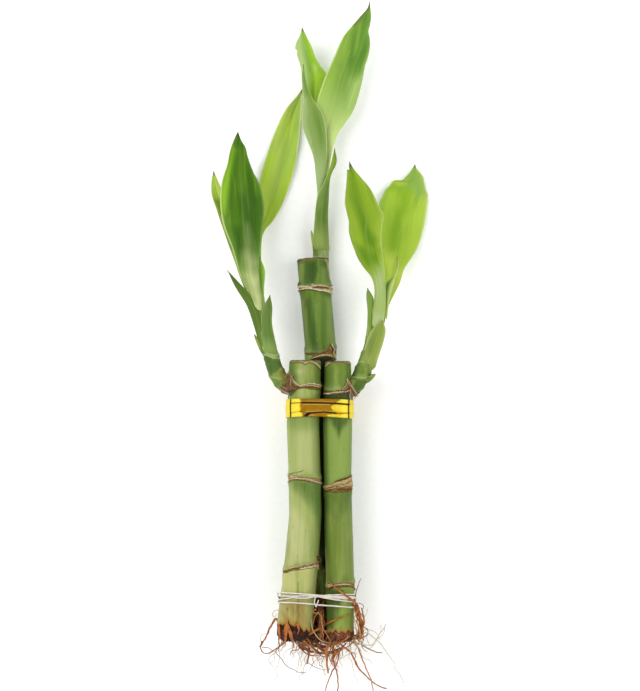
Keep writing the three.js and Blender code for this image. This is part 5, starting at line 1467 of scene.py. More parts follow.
STEM_LINES = {
    "left": [
        ("pale", 0.9, 0.55, [(261.6, 354.2), (267, 355.3), (273, 358), (281, 358.4)]),
        ("seam", 0.6, 0.35, [(261.6, 355.6), (267, 356.7), (273, 359.4), (281, 359.8)]),
        ("pale", 0.3, 0.55, [(269, 376.6), (275, 378.2), (282, 379.2)]),
        ("seam", 0.5, 0.35, [(269.4, 377.9), (275, 379.5), (282, 380.5)]),
    ],
    "center": [("pale", 0.7, 0.6, [(312, 231), (318, 236), (323, 246), (326, 257)]),
               ("pale", 0.7, 0.6, [(312, 257), (320, 256.6), (330, 257.4)])],
    "right": [
        ("pale", 0.45, 0.55, [(351, 376.8), (358, 377.6), (365, 378), (372, 375.6)]),
        ("seam", 0.6, 0.35, [(352, 378.2), (358, 379), (365, 379.3), (371, 377.6)]),
        ("pale", 0.6, 0.5, [(354.6, 364.6), (360, 361.6), (366, 362.4), (372, 366)]),
        ("seam", 0.5, 0.35, [(354.6, 365.8), (360, 362.9), (366, 363.7), (372, 367.2)]),
    ],
}


def stem_line(stem):
    dense = catmull_rom(path_of(stem["path"]))
    steps = int(arc_lengths(dense)[-1] / STEM_STEP)
    shares = np.linspace(0, 1, steps)
    return resample(dense, shares), shares


def stem_material(name, light, mid, dark, foot):
    """Young green stem in sheathed segments, with fine ribs along it and a paler foot."""
    skin = Finish(name, roughness=0.45, Specular_IOR_Level=0.15)
    along, turn, _ = skin.parts(skin.attribute("stem", "Vector"))
    ribs_at = skin.join(skin.math("MULTIPLY", turn, 9.0), skin.math("MULTIPLY", along, 3.0), 0.0)
    ribs = skin.noise(skin.scaled(ribs_at, 3, 1, 1), 1.0, 3.0)
    broad = skin.noise(skin.scaled(skin.position(), 190, 80, 190), 1.0, 2.0)
    base = skin.ramp(broad, [(0.35, dark), (0.5, mid), (0.65, light)])
    base = skin.shade(skin.fade(ribs, 0.42, 0.62, 0.0, 0.4), base, 0.82)
    base = skin.mix(skin.attribute("foot"), base, foot)
    base = skin.mix(skin.attribute("shade"), base, dark)
    # Pale: paler green, and a painted highlight down the right stem's side
    base = skin.mix(skin.attribute("pale"), base, "b4c482")
    base = skin.mix(skin.attribute("seam"), base, "4a5a22")
    skin.set("Base Color", base)
    skin.set("Normal", skin.bump(ribs, 0.06))
    return skin.material


STEM_COLOURS = {
    "left": dict(light="8fa84a", mid="758f3a", dark="4c6a22", foot="86803c"),
    "center": dict(light="a0b660", mid="869f4a", dark="5f7c30", foot="c2c47e"),
    "right": dict(light="9aae50", mid="809640", dark="4c6a20", foot="a0a054"),
}


def add_stem_body(pile, stem, marks_of):
    line, shares = stem_line(stem)
    radii = spread(stem["radii"], shares)
    angle = full_turn(STEM_SIDES)
    ribs = 0.05 * np.sin(11 * angle) + 0.03 * np.sin(17 * angle)
    length = arc_lengths(line)
    beyond = [length - share * length[-1] for share in stem["rings"]]
    steps = 0.25 - 0.35 * sum(smoothstep(gap, -0.4, 0.5) for gap in beyond) / 2
    flare = 0.3 * sum(np.exp(-(((gap + 0.8) / 1.2) ** 2)) for gap in beyond)
    points = with_hubs(rings_along(line, radii[:, None] + ribs + (steps + flare)[:, None], STEM_SIDES))
    marks = np.stack(np.broadcast_arrays(shares[:, None], angle / (2 * np.pi), 0), -1).reshape(-1, 3)
    pile.add(points, tube_faces(len(line), STEM_SIDES), stem=np.vstack([marks, marks[:1], marks[-1:]]),
             **marks_of(points))


def add_scale(pile, start, tip, half_width, marks_of):
    """A small pointed sheath that hugs the stem and ends free."""
    start, tip = at(*start), at(*tip)
    t = np.linspace(0, 1, SCALE_ROWS + 1)[:, None]
    v = np.linspace(-1, 1, SCALE_COLS + 1)[None, :]
    side = unit(np.cross(tip - start, UP))
    width = half_width * np.sqrt(np.clip(1 - t ** 2.2, 0, 1)) * (0.75 + t * (1 - t))
    crown = half_width * 0.75 * (1 - v * v) * (1 - 0.6 * t)
    middle = start + (tip - start) * t
    sheet = middle[:, None, :] + side * (width * v)[..., None] + UP * (crown - 0.3 * half_width)[..., None]
    half = SCALE_THICKNESS / 2
    points = np.vstack([(sheet + UP * lift).reshape(-1, 3) for lift in (half, -half)])
    marks = np.stack(np.broadcast_arrays(0.45, v * 0.2, 0 * t), -1).reshape(-1, 3)
    faces = closed_sheet(SCALE_ROWS, SCALE_COLS)
    pile.add(points, faces, stem=np.vstack([marks, marks]), **marks_of(points))


def stem_piece(side, stem):
    def marks_of(points):
        marks = painted(*photo_point(points), STEM_PAINTS, STEM_AREAS[side], STEM_LINES[side], [])
        front = smoothstep(points[:, 2], stem["path"][1][2] - 6, stem["path"][1][2] - 2)
        return {kind: values * front for kind, values in marks.items()}

    pile = Pile()
    add_stem_body(pile, stem, marks_of)
    for start, tip, half_width in stem["scales"]:
        add_scale(pile, start, tip, half_width, marks_of)
    material = stem_material(f"stem_{side}_green", **STEM_COLOURS[side])
    pile.piece(f"stem_{side}_skin", material, "green_stem", [f"stem_{side}"])


# The torn sheath round a side shoot's foot: patches and strands on the cane in the photograph's points, as
# the collars have them, and loose threads with the height along each
SCAR_REACH = (0.05, 0.2)
SLEEVE_SIDES = 120
SLEEVE_ROWS = 14
SLEEVE_GAP = 0.3
SLEEVE_THICKNESS = 0.2
SCARS = {
    "left": dict(
        patches=[(0.35, [(288.6, 373), (290.4, 377), (293.6, 381), (297.4, 384), (301.6, 386)],
                  [(288.6, 391.6), (291, 391.4), (294.4, 389.8), (298, 388.6), (301.6, 387.6)])],
        strands=[(0.7, 0.26, [(289.4, 372), (291.6, 377), (295, 381.6), (300, 385.6)]),
                 (0.15, 0.28, [(289, 380), (292, 384), (296, 387), (301, 387.4)]),
                 (0.1, 0.34, [(289, 391.6), (293, 390.2), (297, 389)])],
        threads=[(0.92, 0.2, [(290, 397, 30), (287.6, 393.6, 30), (283, 391.4, 29), (277.6, 387.6, 28)]),
                 (0.6, 0.18, [(289, 394, 31), (285, 391, 30), (279.4, 388.6, 29)]),
                 (0.45, 0.3, [(288.6, 371.4, 31), (286.8, 375.6, 31.4), (285, 381, 31), (283.4, 386, 30)]),
                 (0.25, 0.34, [(291.4, 372.4, 33), (289.4, 377, 33), (287.6, 383, 32.4), (287, 389, 31.6)]),
                 (0.55, 0.3, [(292.6, 374.6, 33.4), (290.6, 380, 33.6), (290.6, 386, 33.4)]),
                 (0.5, 0.4, [(281, 385.6, 29.4), (284, 387.4, 30.4), (287.6, 389.4, 31)])]),
    "right": dict(
        patches=[(0.35, [(340.6, 390.6), (344, 387), (347, 383), (350, 379.4)],
                  [(340.6, 392.6), (344.4, 392.8), (347.6, 394), (350.4, 397)])],
        strands=[(0.75, 0.28, [(346.6, 378), (347.4, 382), (349, 386), (351, 389)]),
                 (0.15, 0.28, [(341, 392), (345, 391), (348, 389), (350.4, 390)]),
                 (0.6, 0.26, [(342, 389.4), (345.4, 385.6), (347.4, 381.6)])],
        threads=[(0.75, 0.3, [(347, 378, 30), (350, 383.4, 31), (353.4, 389, 30.6), (358.6, 396, 29)]),
                 (0.25, 0.34, [(348.4, 380.6, 30.4), (351.4, 388, 30.8), (354, 395, 30)]),
                 (0.4, 0.4, [(350, 388, 31), (352, 394, 30.6), (352.6, 399.4, 30)]),
                 (0.55, 0.26, [(354.6, 391, 30), (356.6, 395, 29.4), (354, 399, 29)]),
                 (0.9, 0.18, [(350.4, 390, 31.2), (350, 396, 31), (350.6, 400, 31)]),
                 (0.15, 0.26, [(352.6, 392, 30.6), (357.8, 396.8, 29)])]),
}


def add_sleeve(pile, stem, seed):
    """The papery sleeve round the shoot's foot, with an uneven torn edge."""
    random = random_from(seed)
    line, shares = stem_line(stem)
    near = (shares >= SCAR_REACH[0]) & (shares <= SCAR_REACH[1])
    line, radii = line[near], spread(stem["radii"], shares[near])
    turn = np.linspace(0, 1, SLEEVE_SIDES, endpoint=False)
    reach = np.clip(0.5 + 0.3 * waves(turn, random, (1 / 3, 1 / 7, 1 / 16, 1 / 29), 1.0), 0.2, 0.95)
    base = rings_along(line, np.ones(len(line)), SLEEVE_SIDES)
    lengths = np.linspace(0, 1, len(line))
    flare = 1 + waves(turn, random, (1 / 5, 1 / 11), 1)
    sheets = []
    for thickness in (0, SLEEVE_THICKNESS):
        sheet = []
        for row in range(SLEEVE_ROWS + 1):
            share = row / SLEEVE_ROWS * reach
            middle = resample(line, share)
            spoke = np.array([[np.interp(s, lengths, base[:, j, k] - line[:, k]) for k in range(3)]
                              for j, s in enumerate(share)])
            radius = np.interp(share, lengths, radii) + SLEEVE_GAP + thickness
            radius = radius + 0.5 * max(row / SLEEVE_ROWS - 0.6, 0) * flare
            sheet.append(middle + unit(spoke) * radius[:, None])
        sheets.append(np.array(sheet))
    points, faces = closed_band(*sheets)
    share = np.concatenate([np.linspace(0, 1, SLEEVE_ROWS + 1), np.linspace(1, 0, SLEEVE_ROWS + 1)])
    pile.add(points, faces, tone=0.5 - 0.35 * np.tile(share, SLEEVE_SIDES), mauve=0.5)


def scar_piece(side, seed):
    pile = Pile()
    add_sleeve(pile, STEMS[side], seed)
    add_sheath(pile, CANES[side], SCARS[side], random_from(seed + 1), mauve=0.6)
    for tone, radius, path in SCARS[side]["threads"]:
        route = catmull_rom(path_of(path), 8)
        radii = radius * (1 - 0.5 * np.linspace(-1, 1, len(route)) ** 2)
        rings = rings_along(route, radii, THREAD_SIDES)
        pile.add(with_hubs(rings), tube_faces(len(route), THREAD_SIDES), tone=tone, mauve=0.25)
    name = f"shoot_scar_{side}"
    pile.piece(f"{name}_paper", PAPER, "papery_collar", [name])


for stem_side, stem_shape in STEMS.items():
    stem_piece(stem_side, stem_shape)
scar_piece("left", seed=41)
scar_piece("right", seed=57)


# Ties

# How many directions a tight band's line is worked out in
BAND_DIRECTIONS = 4800


def circles_at(py):
    """Each cane's circle at a height of the photograph: x, z and radius."""
    found = []
    for cane in CANES.values():
        x, radius = axis_at(cane, at(0, py, cane["z"])[1])
        found.append((x, cane["z"], radius))
    return found


def band_points(circles, angle):
    """The line that a tight band takes round circles: in each direction, the circle that reaches furthest."""
    c, s = np.cos(angle), np.sin(angle)
    reach = np.stack([x * c + z * s + radius for x, z, radius in circles])
    far = reach.argmax(0)
    x, z, radius = (np.array(values)[far] for values in zip(*circles))
    return x + radius * c, z + radius * s


def evenly_round(py, steps):
    """Points spread evenly along a tight band's whole line round the canes: x, z, the photograph's x, the
    share of the way round, and the cosine and sine of the direction that each one faces."""
    angle = np.linspace(0, 2 * np.pi, BAND_DIRECTIONS)
    line = band_points(circles_at(py), angle)
    length = arc_lengths(np.stack(line, -1))
    wanted = np.linspace(0, length[-1], steps, endpoint=False)
    x, z, facing = (np.interp(wanted, length, values) for values in (*line, angle))
    px, _ = photo_point(np.stack([x, np.full_like(x, at(0, py, PLANE_Z)[1]), z], -1))
    return x, z, px, np.linspace(0, 1, steps, endpoint=False), np.cos(facing), np.sin(facing)


# The tape's three turns, and the painted reflections, glints and shade of its facets on the front, in the
# photograph's points
TAPE_TOP = [(284, 399.6), (292, 398.9), (300, 398.6), (320, 398.7), (340, 399), (350, 400), (355, 400.4)]
TAPE_BOTTOM = [(284, 417.6), (292, 417.2), (303, 416.6), (320, 416.6), (336, 417.4), (349, 418.4),
               (355, 418.6)]
TAPE_BEHIND = (399.4, 418)
TAPE_MIDDLE = 409
TAPE_STEPS = 460
TAPE_ROWS = 40

# Shares of the tape's width at which a turn's edge shows, how far out each turn lies, and the photograph's x
# of the two folds at the sides
TAPE_SEAMS = (0.22, 0.73)
TAPE_LIFTS = (0.02, 0.26, 0.12)
TAPE_FOLDS = (290.6, 348.8)
SEAM_WIDTH = 0.018
FOLD_WIDTH = 0.8

# Bright areas are painted reflections on the foil's facets, orange is an orange patch, dark is painted shade
# in the seams and folds and a dark torn flap, and glint is painted glints
TAPE_AREAS = [
    ("bright", 1.0, 0.7, [(284, 398), (299, 398), (300.6, 401), (300.4, 403), (299.6, 406), (300.6, 409),
                          (299.4, 411.4), (302.4, 413.6), (302, 418), (284, 418)]),
    ("bright", 1.0, 0.6, [(336, 402.6), (339, 400.6), (341.4, 399.2), (348, 398), (356, 398), (356, 404),
                          (336, 403.4)]),
    ("bright", 1.0, 0.6, [(330.8, 407), (333, 405.2), (336, 404.6), (356, 404), (356, 413), (337, 412.6),
                          (332.6, 410)]),
    ("bright", 1.0, 0.5, [(326.4, 415), (332, 414.2), (340, 414.2), (356, 413.4), (356, 420), (336, 418),
                          (328, 416.4)]),
    ("orange", 0.8, 1.0, [(336, 411.8), (341, 411.6), (341, 415), (336.4, 414.8)]),
    ("dark", 1.0, 0.35, [(303.6, 416.8), (305.6, 413.6), (307.6, 412.2), (312, 412.4), (309.6, 414.8),
                         (307, 416.8)]),
]
TAPE_LINES = [
    ("dark", 1.0, 0.95, [(302, 402.6), (310, 402.7), (320, 402.8), (335, 403.3), (349, 404.6)]),
    ("dark", 0.8, 0.6, [(291, 403.3), (302, 402.6)]),
    ("dark", 1.0, 0.8, [(309, 413.2), (312, 413), (318, 412.3), (324, 412), (329, 412.5), (336, 413.2)]),
    ("dark", 0.55, 0.4, [(336, 413.2), (349, 413)]),
    ("dark", 0.5, 0.4, [(291, 412.9), (298, 411.9), (300.4, 411.4)]),
    ("dark", 0.45, 0.4, [(300.4, 411.4), (303, 413.2), (305, 415.6)]),
    ("dark", 1.0, 0.7, [(290.7, 398.6), (290.4, 407), (290.7, 417.6)]),
    ("dark", 1.0, 0.75, [(349, 399), (348.6, 408), (348.8, 418.4)]),
    ("dark", 0.5, 0.3, [(291, 417.2), (303, 416.5), (320, 416.4), (336, 417.2), (349, 418.2)]),
    ("dark", 0.4, 0.3, [(300, 398.9), (320, 399), (338, 399.2)]),
    ("glint", 0.8, 0.35, [(301, 401.7), (318, 401.8), (334, 402.1)]),
    ("glint", 0.7, 0.35, [(303, 404.3), (318, 404.3), (330, 404.6)]),
    ("glint", 0.7, 0.35, [(306, 411.6), (313, 411.2), (326, 411), (334, 411.6)]),
    ("glint", 0.7, 0.4, [(309, 415.6), (312, 414.8), (314, 415.6)]),
    ("glint", 0.5, 0.4, [(301, 412.4), (303.6, 414.4)]),
]
TAPE_PAINTS = ("bright", "orange", "dark", "glint")


def tape_material():
    """Creased gold foil: dark gold where it lies flat, painted bright yellow reflections towards its two
    sides.
    """
    foil = Finish("gold_foil_skin", roughness=0.4, Metallic=0.3, Specular_IOR_Level=0.15)
    here = foil.millimetres()
    grain = foil.noise(foil.scaled(here, 0.35, 1.4, 0.35), 1.0, 2.0, 0.5, 0.4)
    rub = foil.noise(foil.scaled(here, 0.9, 0.5, 0.9), 1.0, 3.0)
    base = foil.mix(foil.fade(grain, 0.3, 0.7), "a47402", "b48202")
    # Painted reflections: bright yellow on the facets
    bright = foil.mix(foil.fade(rub, 0.35, 0.7), "f8dc2c", "fee84a")
    base = foil.mix(foil.attribute("bright"), base, bright)
    base = foil.mix(foil.attribute("orange"), base, "e0a010")
    # Painted glints: thin pale gold highlights
    base = foil.mix(foil.math("MULTIPLY", foil.attribute("glint"), 0.75), base, "f0d070")
    # Painted shade in the seams and folds, and the dark torn flap
    base = foil.mix(foil.attribute("dark"), base, "2a1402")
    foil.set("Base Color", base)
    foil.set("Roughness", foil.fade(rub, 0.35, 0.7, 0.38, 0.46))
    return foil.material


def tape_lift(px, turn, share, front, random):
    """How far out the tape lies: a step at each seam with a groove, raised side folds, and fine crinkles."""
    steps = TAPE_LIFTS[0] + sum((b - a) * smoothstep(share, seam - 0.02, seam + 0.02)
                                for a, b, seam in zip(TAPE_LIFTS, TAPE_LIFTS[1:], TAPE_SEAMS))
    groove = sum(np.exp(-(((share - seam) / SEAM_WIDTH) ** 2)) for seam in TAPE_SEAMS)
    folds = sum(np.exp(-(((px - fold) / FOLD_WIDTH) ** 2)) for fold in TAPE_FOLDS) * front
    crinkle = sum(waves(turn + 0.1 * k * share, random, (1 / 7, 1 / 19), 0.03) for k in range(3))
    return 0.18 + steps - 0.12 * groove + 0.22 * folds + crinkle


def tape_marks(points, facing):
    """The painted reflections, glints and shade, none of them behind, with painted reflections on both sides.
    """
    marks = painted(*photo_point(points), TAPE_PAINTS, TAPE_AREAS, TAPE_LINES, [])
    marks = {kind: values * smoothstep(facing, -0.1, 0.2) for kind, values in marks.items()}
    # Painted reflection: bright towards the sides, where the foil turns away from the front
    marks["bright"] = np.maximum(marks["bright"], 0.8 * smoothstep(facing, 0.97, 0.6))
    return marks


def tape_piece():
    random = random_from(23)
    x, z, px, turn, c, s = evenly_round(TAPE_MIDDLE, TAPE_STEPS)
    share = np.linspace(0, 1, TAPE_ROWS + 1)[:, None]
    front = smoothstep(s, -0.2, 0.3)
    edges = [lerp(behind, np.interp(px, *np.array(line).T), front)
             for behind, line in zip(TAPE_BEHIND, (TAPE_TOP, TAPE_BOTTOM))]
    tops, bottoms = (at(px, edge, z)[..., 1] for edge in edges)
    wave = waves(turn, random, (1 / 9, 1 / 23, 1 / 41), 0.08)
    y = lerp(tops + wave, bottoms + 0.6 * wave, share)
    lift = tape_lift(px, turn, share, front, random)
    sheets = [np.stack(np.broadcast_arrays(x + (gap + lift) * c, y, z + (gap + lift) * s), -1)
              for gap in (TIE_GAP, TIE_GAP + TAPE_THICKNESS)]
    points, faces = closed_band(*sheets)
    marks = tape_marks(points, np.repeat(s, 2 * len(share)))
    make_piece("gold_tape_foil", points, faces, tape_material(), ["gold_tape"], marks)


# Each turn of the elastic across the front, in the photograph's points, with its half width, and its
# height behind
STRANDS = [
    (598, [(277, 592.2, 0.75), (290, 593, 0.75), (300, 593.8, 0.8), (310, 594.5, 0.8), (317, 595.2, 0.8),
           (323, 595.6, 0.8), (331, 594.9, 0.7), (340, 594.4, 0.7), (358, 594.5, 0.8)]),
    (599, [(277, 595.4, 0.75), (288, 596.1, 0.75), (295, 596.2, 0.8), (303, 595.7, 0.7), (310, 595.9, 0.7),
           (318, 596.1, 0.8), (325, 596.7, 1.2), (333, 597.2, 1.9), (345, 597.5, 2.1), (358, 597.8, 1.2)]),
    (600, [(277, 600.4, 0.75), (287, 598.6, 0.75), (293, 597.4, 0.7), (300, 598, 0.75), (307, 598, 0.75),
           (312, 597, 0.7), (318, 596.6, 0.7), (325, 597.8, 0.7), (337, 600, 0.75), (352, 601.7, 0.8),
           (358, 602, 0.8)]),
    (601, [(277, 602.4, 0.75), (290, 602.6, 0.8), (300, 603.1, 0.8), (312, 604.1, 0.8), (320, 604.9, 0.8),
           (335, 606, 0.8), (350, 607.2, 0.8), (358, 607.8, 0.8)]),
]
LOOSE_STRANDS = [[(315.6, 597.5), (314.6, 600.5), (314.7, 603.6), (316.6, 607)],
                 [(318.6, 600), (317, 604), (315.4, 607)]]
STRANDS_MIDDLE = 604
STRAND_STEPS = 320
STRAND_SIDES = 14
BEHIND_HALF = 0.85
LOOSE_RADIUS = 0.28
LOOSE_SIDES = 8


def elastic_material():
    """Off-white rubber thread, with painted grey shade towards its lower side, and faintly ribbed."""
    rubber = Finish("elastic_white", roughness=0.55, Specular_IOR_Level=0.3)
    here = rubber.millimetres()
    fine = rubber.noise(rubber.scaled(here, 0.7, 4.0, 0.7), 1.0, 3.0)
    worn = rubber.noise(here, 0.25, 2.0)
    base = rubber.mix(rubber.fade(worn, 0.45, 0.6), "f4eeda", "e8dfd2")
    # Painted shade: grey towards each strand's lower side, uneven along it
    under = rubber.math("ADD", rubber.attribute("lower"), rubber.fade(fine, 0.3, 0.7, -0.4, 0.4))
    base = rubber.mix(rubber.fade(under, 0.1, 0.8, 0.0, 0.85), base, "a08c8c")
    rubber.set("Base Color", base)
    rubber.set("Normal", rubber.bump(fine, 0.1))
    return rubber.material


def elastic_piece():
    random = random_from(17)
    x, z, px, turn, c, s = evenly_round(STRANDS_MIDDLE, STRAND_STEPS)
    front = smoothstep(s, -0.5, 0.1)
    around = full_turn(STRAND_SIDES)
    pile = Pile()
    for order, (behind, across) in enumerate(STRANDS):
        across_px, across_py, across_half = np.array(across).T
        py = lerp(behind, np.interp(px, across_px, across_py), front)
        half = MM_PER_POINT * lerp(BEHIND_HALF, np.interp(px, across_px, across_half), front)
        y = at(px, py, z)[..., 1] + waves(turn, random, (1 / 9, 1 / 23), 0.05)
        half = half * (1 + waves(turn, random, (1 / 14, 1 / 31), 0.12))
        layer = 0.12 * np.sin(2 * np.pi * (3 * turn + order / 4))
        lift = TIE_GAP + 0.1 + layer[:, None] + STRAND_THICKNESS / 2 * (1 + np.cos(around))[None, :]
        heights = y[:, None] + half[:, None] * np.sin(around)
        rings = np.stack([x[:, None] + lift * c[:, None], heights, z[:, None] + lift * s[:, None]], -1)
        # lower marks where each ring faces the strand's lower side, for its painted shade
        pile.add(rings.reshape(-1, 3), tube_faces(STRAND_STEPS, STRAND_SIDES, closed=True),
                 lower=np.tile(-np.sin(around), STRAND_STEPS))
    for line in LOOSE_STRANDS:
        route = catmull_rom(line, 8)
        top = np.full(len(route), z.max() + 0.6)
        rings = rings_along(at(*route.T, top), np.full(len(route), LOOSE_RADIUS), LOOSE_SIDES)
        pile.add(with_hubs(rings), tube_faces(len(route), LOOSE_SIDES), lower=0.0)
    pile.piece("elastic_band_strands", elastic_material(), "white_elastic", ["elastic_band"])


tape_piece()
elastic_piece()


# Roots

CROWN_SIDES = 120
CROWN_RINGS = 30
CROWN_TOP = 5.5
CROWN_SHARE = 0.965
CROWN_TONES = {"left": 0.0, "right": 0.8, "back": 0.5}


def crown_body(cane, random):
    """The brown, lumpy cut end that fills a cane's torn edge and stands out below it."""
    angle = full_turn(CROWN_SIDES)
    turn = angle / (2 * np.pi)
    top = cane["root_y"] + CROWN_TOP
    lumps = [waves(turn, random, (1 / 7, 1 / 13, 1 / 24), 0.4) for _ in range(3)]
    sway = waves(turn, random, (1 / 5, 1 / 11), 0.5)
    chipped = np.abs(waves(turn, random, (1 / 4, 1 / 9, 1 / 17), 3.2))
    rings = []
    for t in np.linspace(0, 1, CROWN_RINGS):
        y = lerp(top, cane["crown_y"], t)
        x, radius = axis_at(cane, y)
        grow = CROWN_SHARE - 0.25 * smoothstep(t, 0.75, 1)
        uneven = lumps[0] * (1 - t) + lumps[1] * t + lumps[2] * np.sin(6 * t)
        r = radius * grow + uneven * smoothstep(t, 0.35, 0.6)
        z = np.maximum(cane["z"] + r * np.sin(angle), 0.2)
        height = np.maximum(y + sway * smoothstep(t, 0.2, 0.6), cane["crown_y"] + chipped)
        rings.append(np.stack([x + r * np.cos(angle), height, z], -1))
    rings = np.array(rings)
    return with_hubs(rings), [f[::-1] for f in tube_faces(len(rings), CROWN_SIDES)]


# Two roots that lie over the right cane: where each leaves its crown, and its line in the photograph
OVER_ROOT = dict(radius=0.66, lift=1.2, tone=0.55, start=[(346, 640, 24), (357, 637, 25)],
                 line=[(361, 627), (360, 615), (356, 603.5), (350, 598.5), (341, 592), (334, 586.5),
                       (328.4, 581)])
CROSSING_ROOT = dict(radius=0.6, lift=0.3, tone=0.45, start=[(302, 639, 27), (313, 632, 31)],
                     line=[(324, 625.5), (331, 621.5), (340, 618), (351, 614)])

# Roots that stand out in the photograph: the radius, the tone from dark (0) to pale (1), then x, y and
# height along each
MAIN_ROOTS = [
    (0.62, 0.5, [(286, 632, 26), (279, 622, 25), (275.4, 618.6, 24.5), (273, 622.4, 23), (269, 630, 19),
                 (264.6, 639.6, 14), (260, 646.2, 13), (259.4, 646.8, 13)]),
    (0.34, 0.15, [(261.8, 641, 14), (261, 646, 13), (261.4, 650.6, 13), (264.6, 653.4, 13),
                  (268.6, 653.6, 14)]),
    (0.38, 0.5, [(268.6, 653.6, 14), (272.6, 651, 15), (277, 648.4, 17), (280.6, 645, 20), (285.6, 639, 24)]),
    (0.7, 0.56, [(287.6, 621, 33), (287.2, 628, 35), (286.2, 635, 34.4), (285, 642, 33), (281, 645.6, 30)]),
    (0.6, 0.6, [(279, 625, 31), (279.4, 632, 31.6), (280.4, 639, 30)]),
    (0.5, 0.66, [(288.4, 630, 35), (291, 637.4, 34.6), (293.6, 643, 33), (294, 648, 31)]),
    (0.5, 0.45, [(294, 626, 35), (298, 624.4, 35), (299.4, 629, 34.8), (297, 634.6, 34.4)]),
    (0.34, 0.1, [(277.4, 624, 28), (278.6, 634, 28), (279, 643, 27), (279, 651.6, 26)]),
    (0.24, 0.08, [(288, 640, 22), (276, 651.6, 16), (281, 658, 13), (284.4, 663.4, 11), (288.4, 667.2, 9),
                  (294, 670, 7), (300, 672.4, 5), (306, 672.6, 4)]),
    (0.4, 0.3, [(294, 640, 25), (300.6, 648.6, 25), (308, 654.4, 24), (316, 655.6, 24)]),
    (0.66, 0.5, [(300, 636, 24), (309, 648, 25), (309, 654, 24), (307, 663.4, 22)]),
    (0.6, 0.66, [(296, 638, 31), (304, 641, 30), (311, 648, 28), (318, 654, 26)]),
    (0.7, 0.6, [(332, 640, 25), (326.5, 648, 26), (326.6, 656, 25), (328, 673, 22)]),
    (0.5, 0.5, [(334, 640, 22), (333, 657.6, 20), (335.4, 668, 17), (338, 678, 14), (337, 697, 11)]),
    (0.42, 0.52, [(346, 643, 27), (340, 651, 25.4), (338.6, 658, 24), (336, 665, 22.6), (331, 674, 21),
                  (323, 698, 16)]),
    (0.5, 0.42, [(336, 640, 21), (344, 647, 17), (351, 653, 14), (354.6, 660, 12), (357, 666, 10),
                  (366, 676, 8), (376, 684.4, 5), (387, 689, 2)]),
    (0.42, 0.7, [(348, 639, 24), (357, 646, 21), (361, 656, 18), (366, 668, 15), (371, 680, 12),
                 (374, 696, 9)]),
    (0.36, 0.15, [(346, 639, 22), (360, 644, 18), (368, 648.6, 15), (375, 651.6, 12), (382, 652.6, 9)]),
    (0.32, 0.95, [(348, 639, 26), (366, 633, 26), (374, 638, 22), (381, 644, 18), (387, 653, 15),
                  (392, 660, 12), (394.6, 663, 11), (395, 668, 10), (400, 675, 7), (404, 683, 5)]),
    (0.3, 0.98, [(347, 639, 24), (364, 645, 24), (372, 645, 25), (377, 638, 26), (382, 631, 26),
                 (386, 624, 24)]),
    (0.5, 0.55, [(345, 639.5, 20), (358, 634, 16), (364, 622, 18), (361.4, 608, 22)]),
    (0.6, 0.6, [(345, 639, 24), (357.6, 634, 26), (361, 622, 27), (359, 610, 27), (356.6, 603, 26)]),
    (0.36, 0.3, [(346, 640, 20), (360, 638, 20), (367, 635, 22), (367.6, 630, 22), (363, 626.6, 22)]),
    (0.75, 0.3, [(300, 634, 22), (317, 636, 22), (320, 622, 22.5), (319.5, 603, 22.5)]),
    (0.6, 0.36, [(340, 640, 26), (325, 642, 27), (320.5, 625, 27.5), (321.5, 611, 27)]),
    (1.0, 0.5, [(294, 636, 24), (312, 645, 22), (330, 646, 20), (342, 640, 22)]),
    (1.0, 0.4, [(296, 636, 20), (308, 645, 12), (320, 636, 9)]),
    (1.0, 0.45, [(340, 640, 20), (330, 645, 12), (320, 636, 9)]),
]

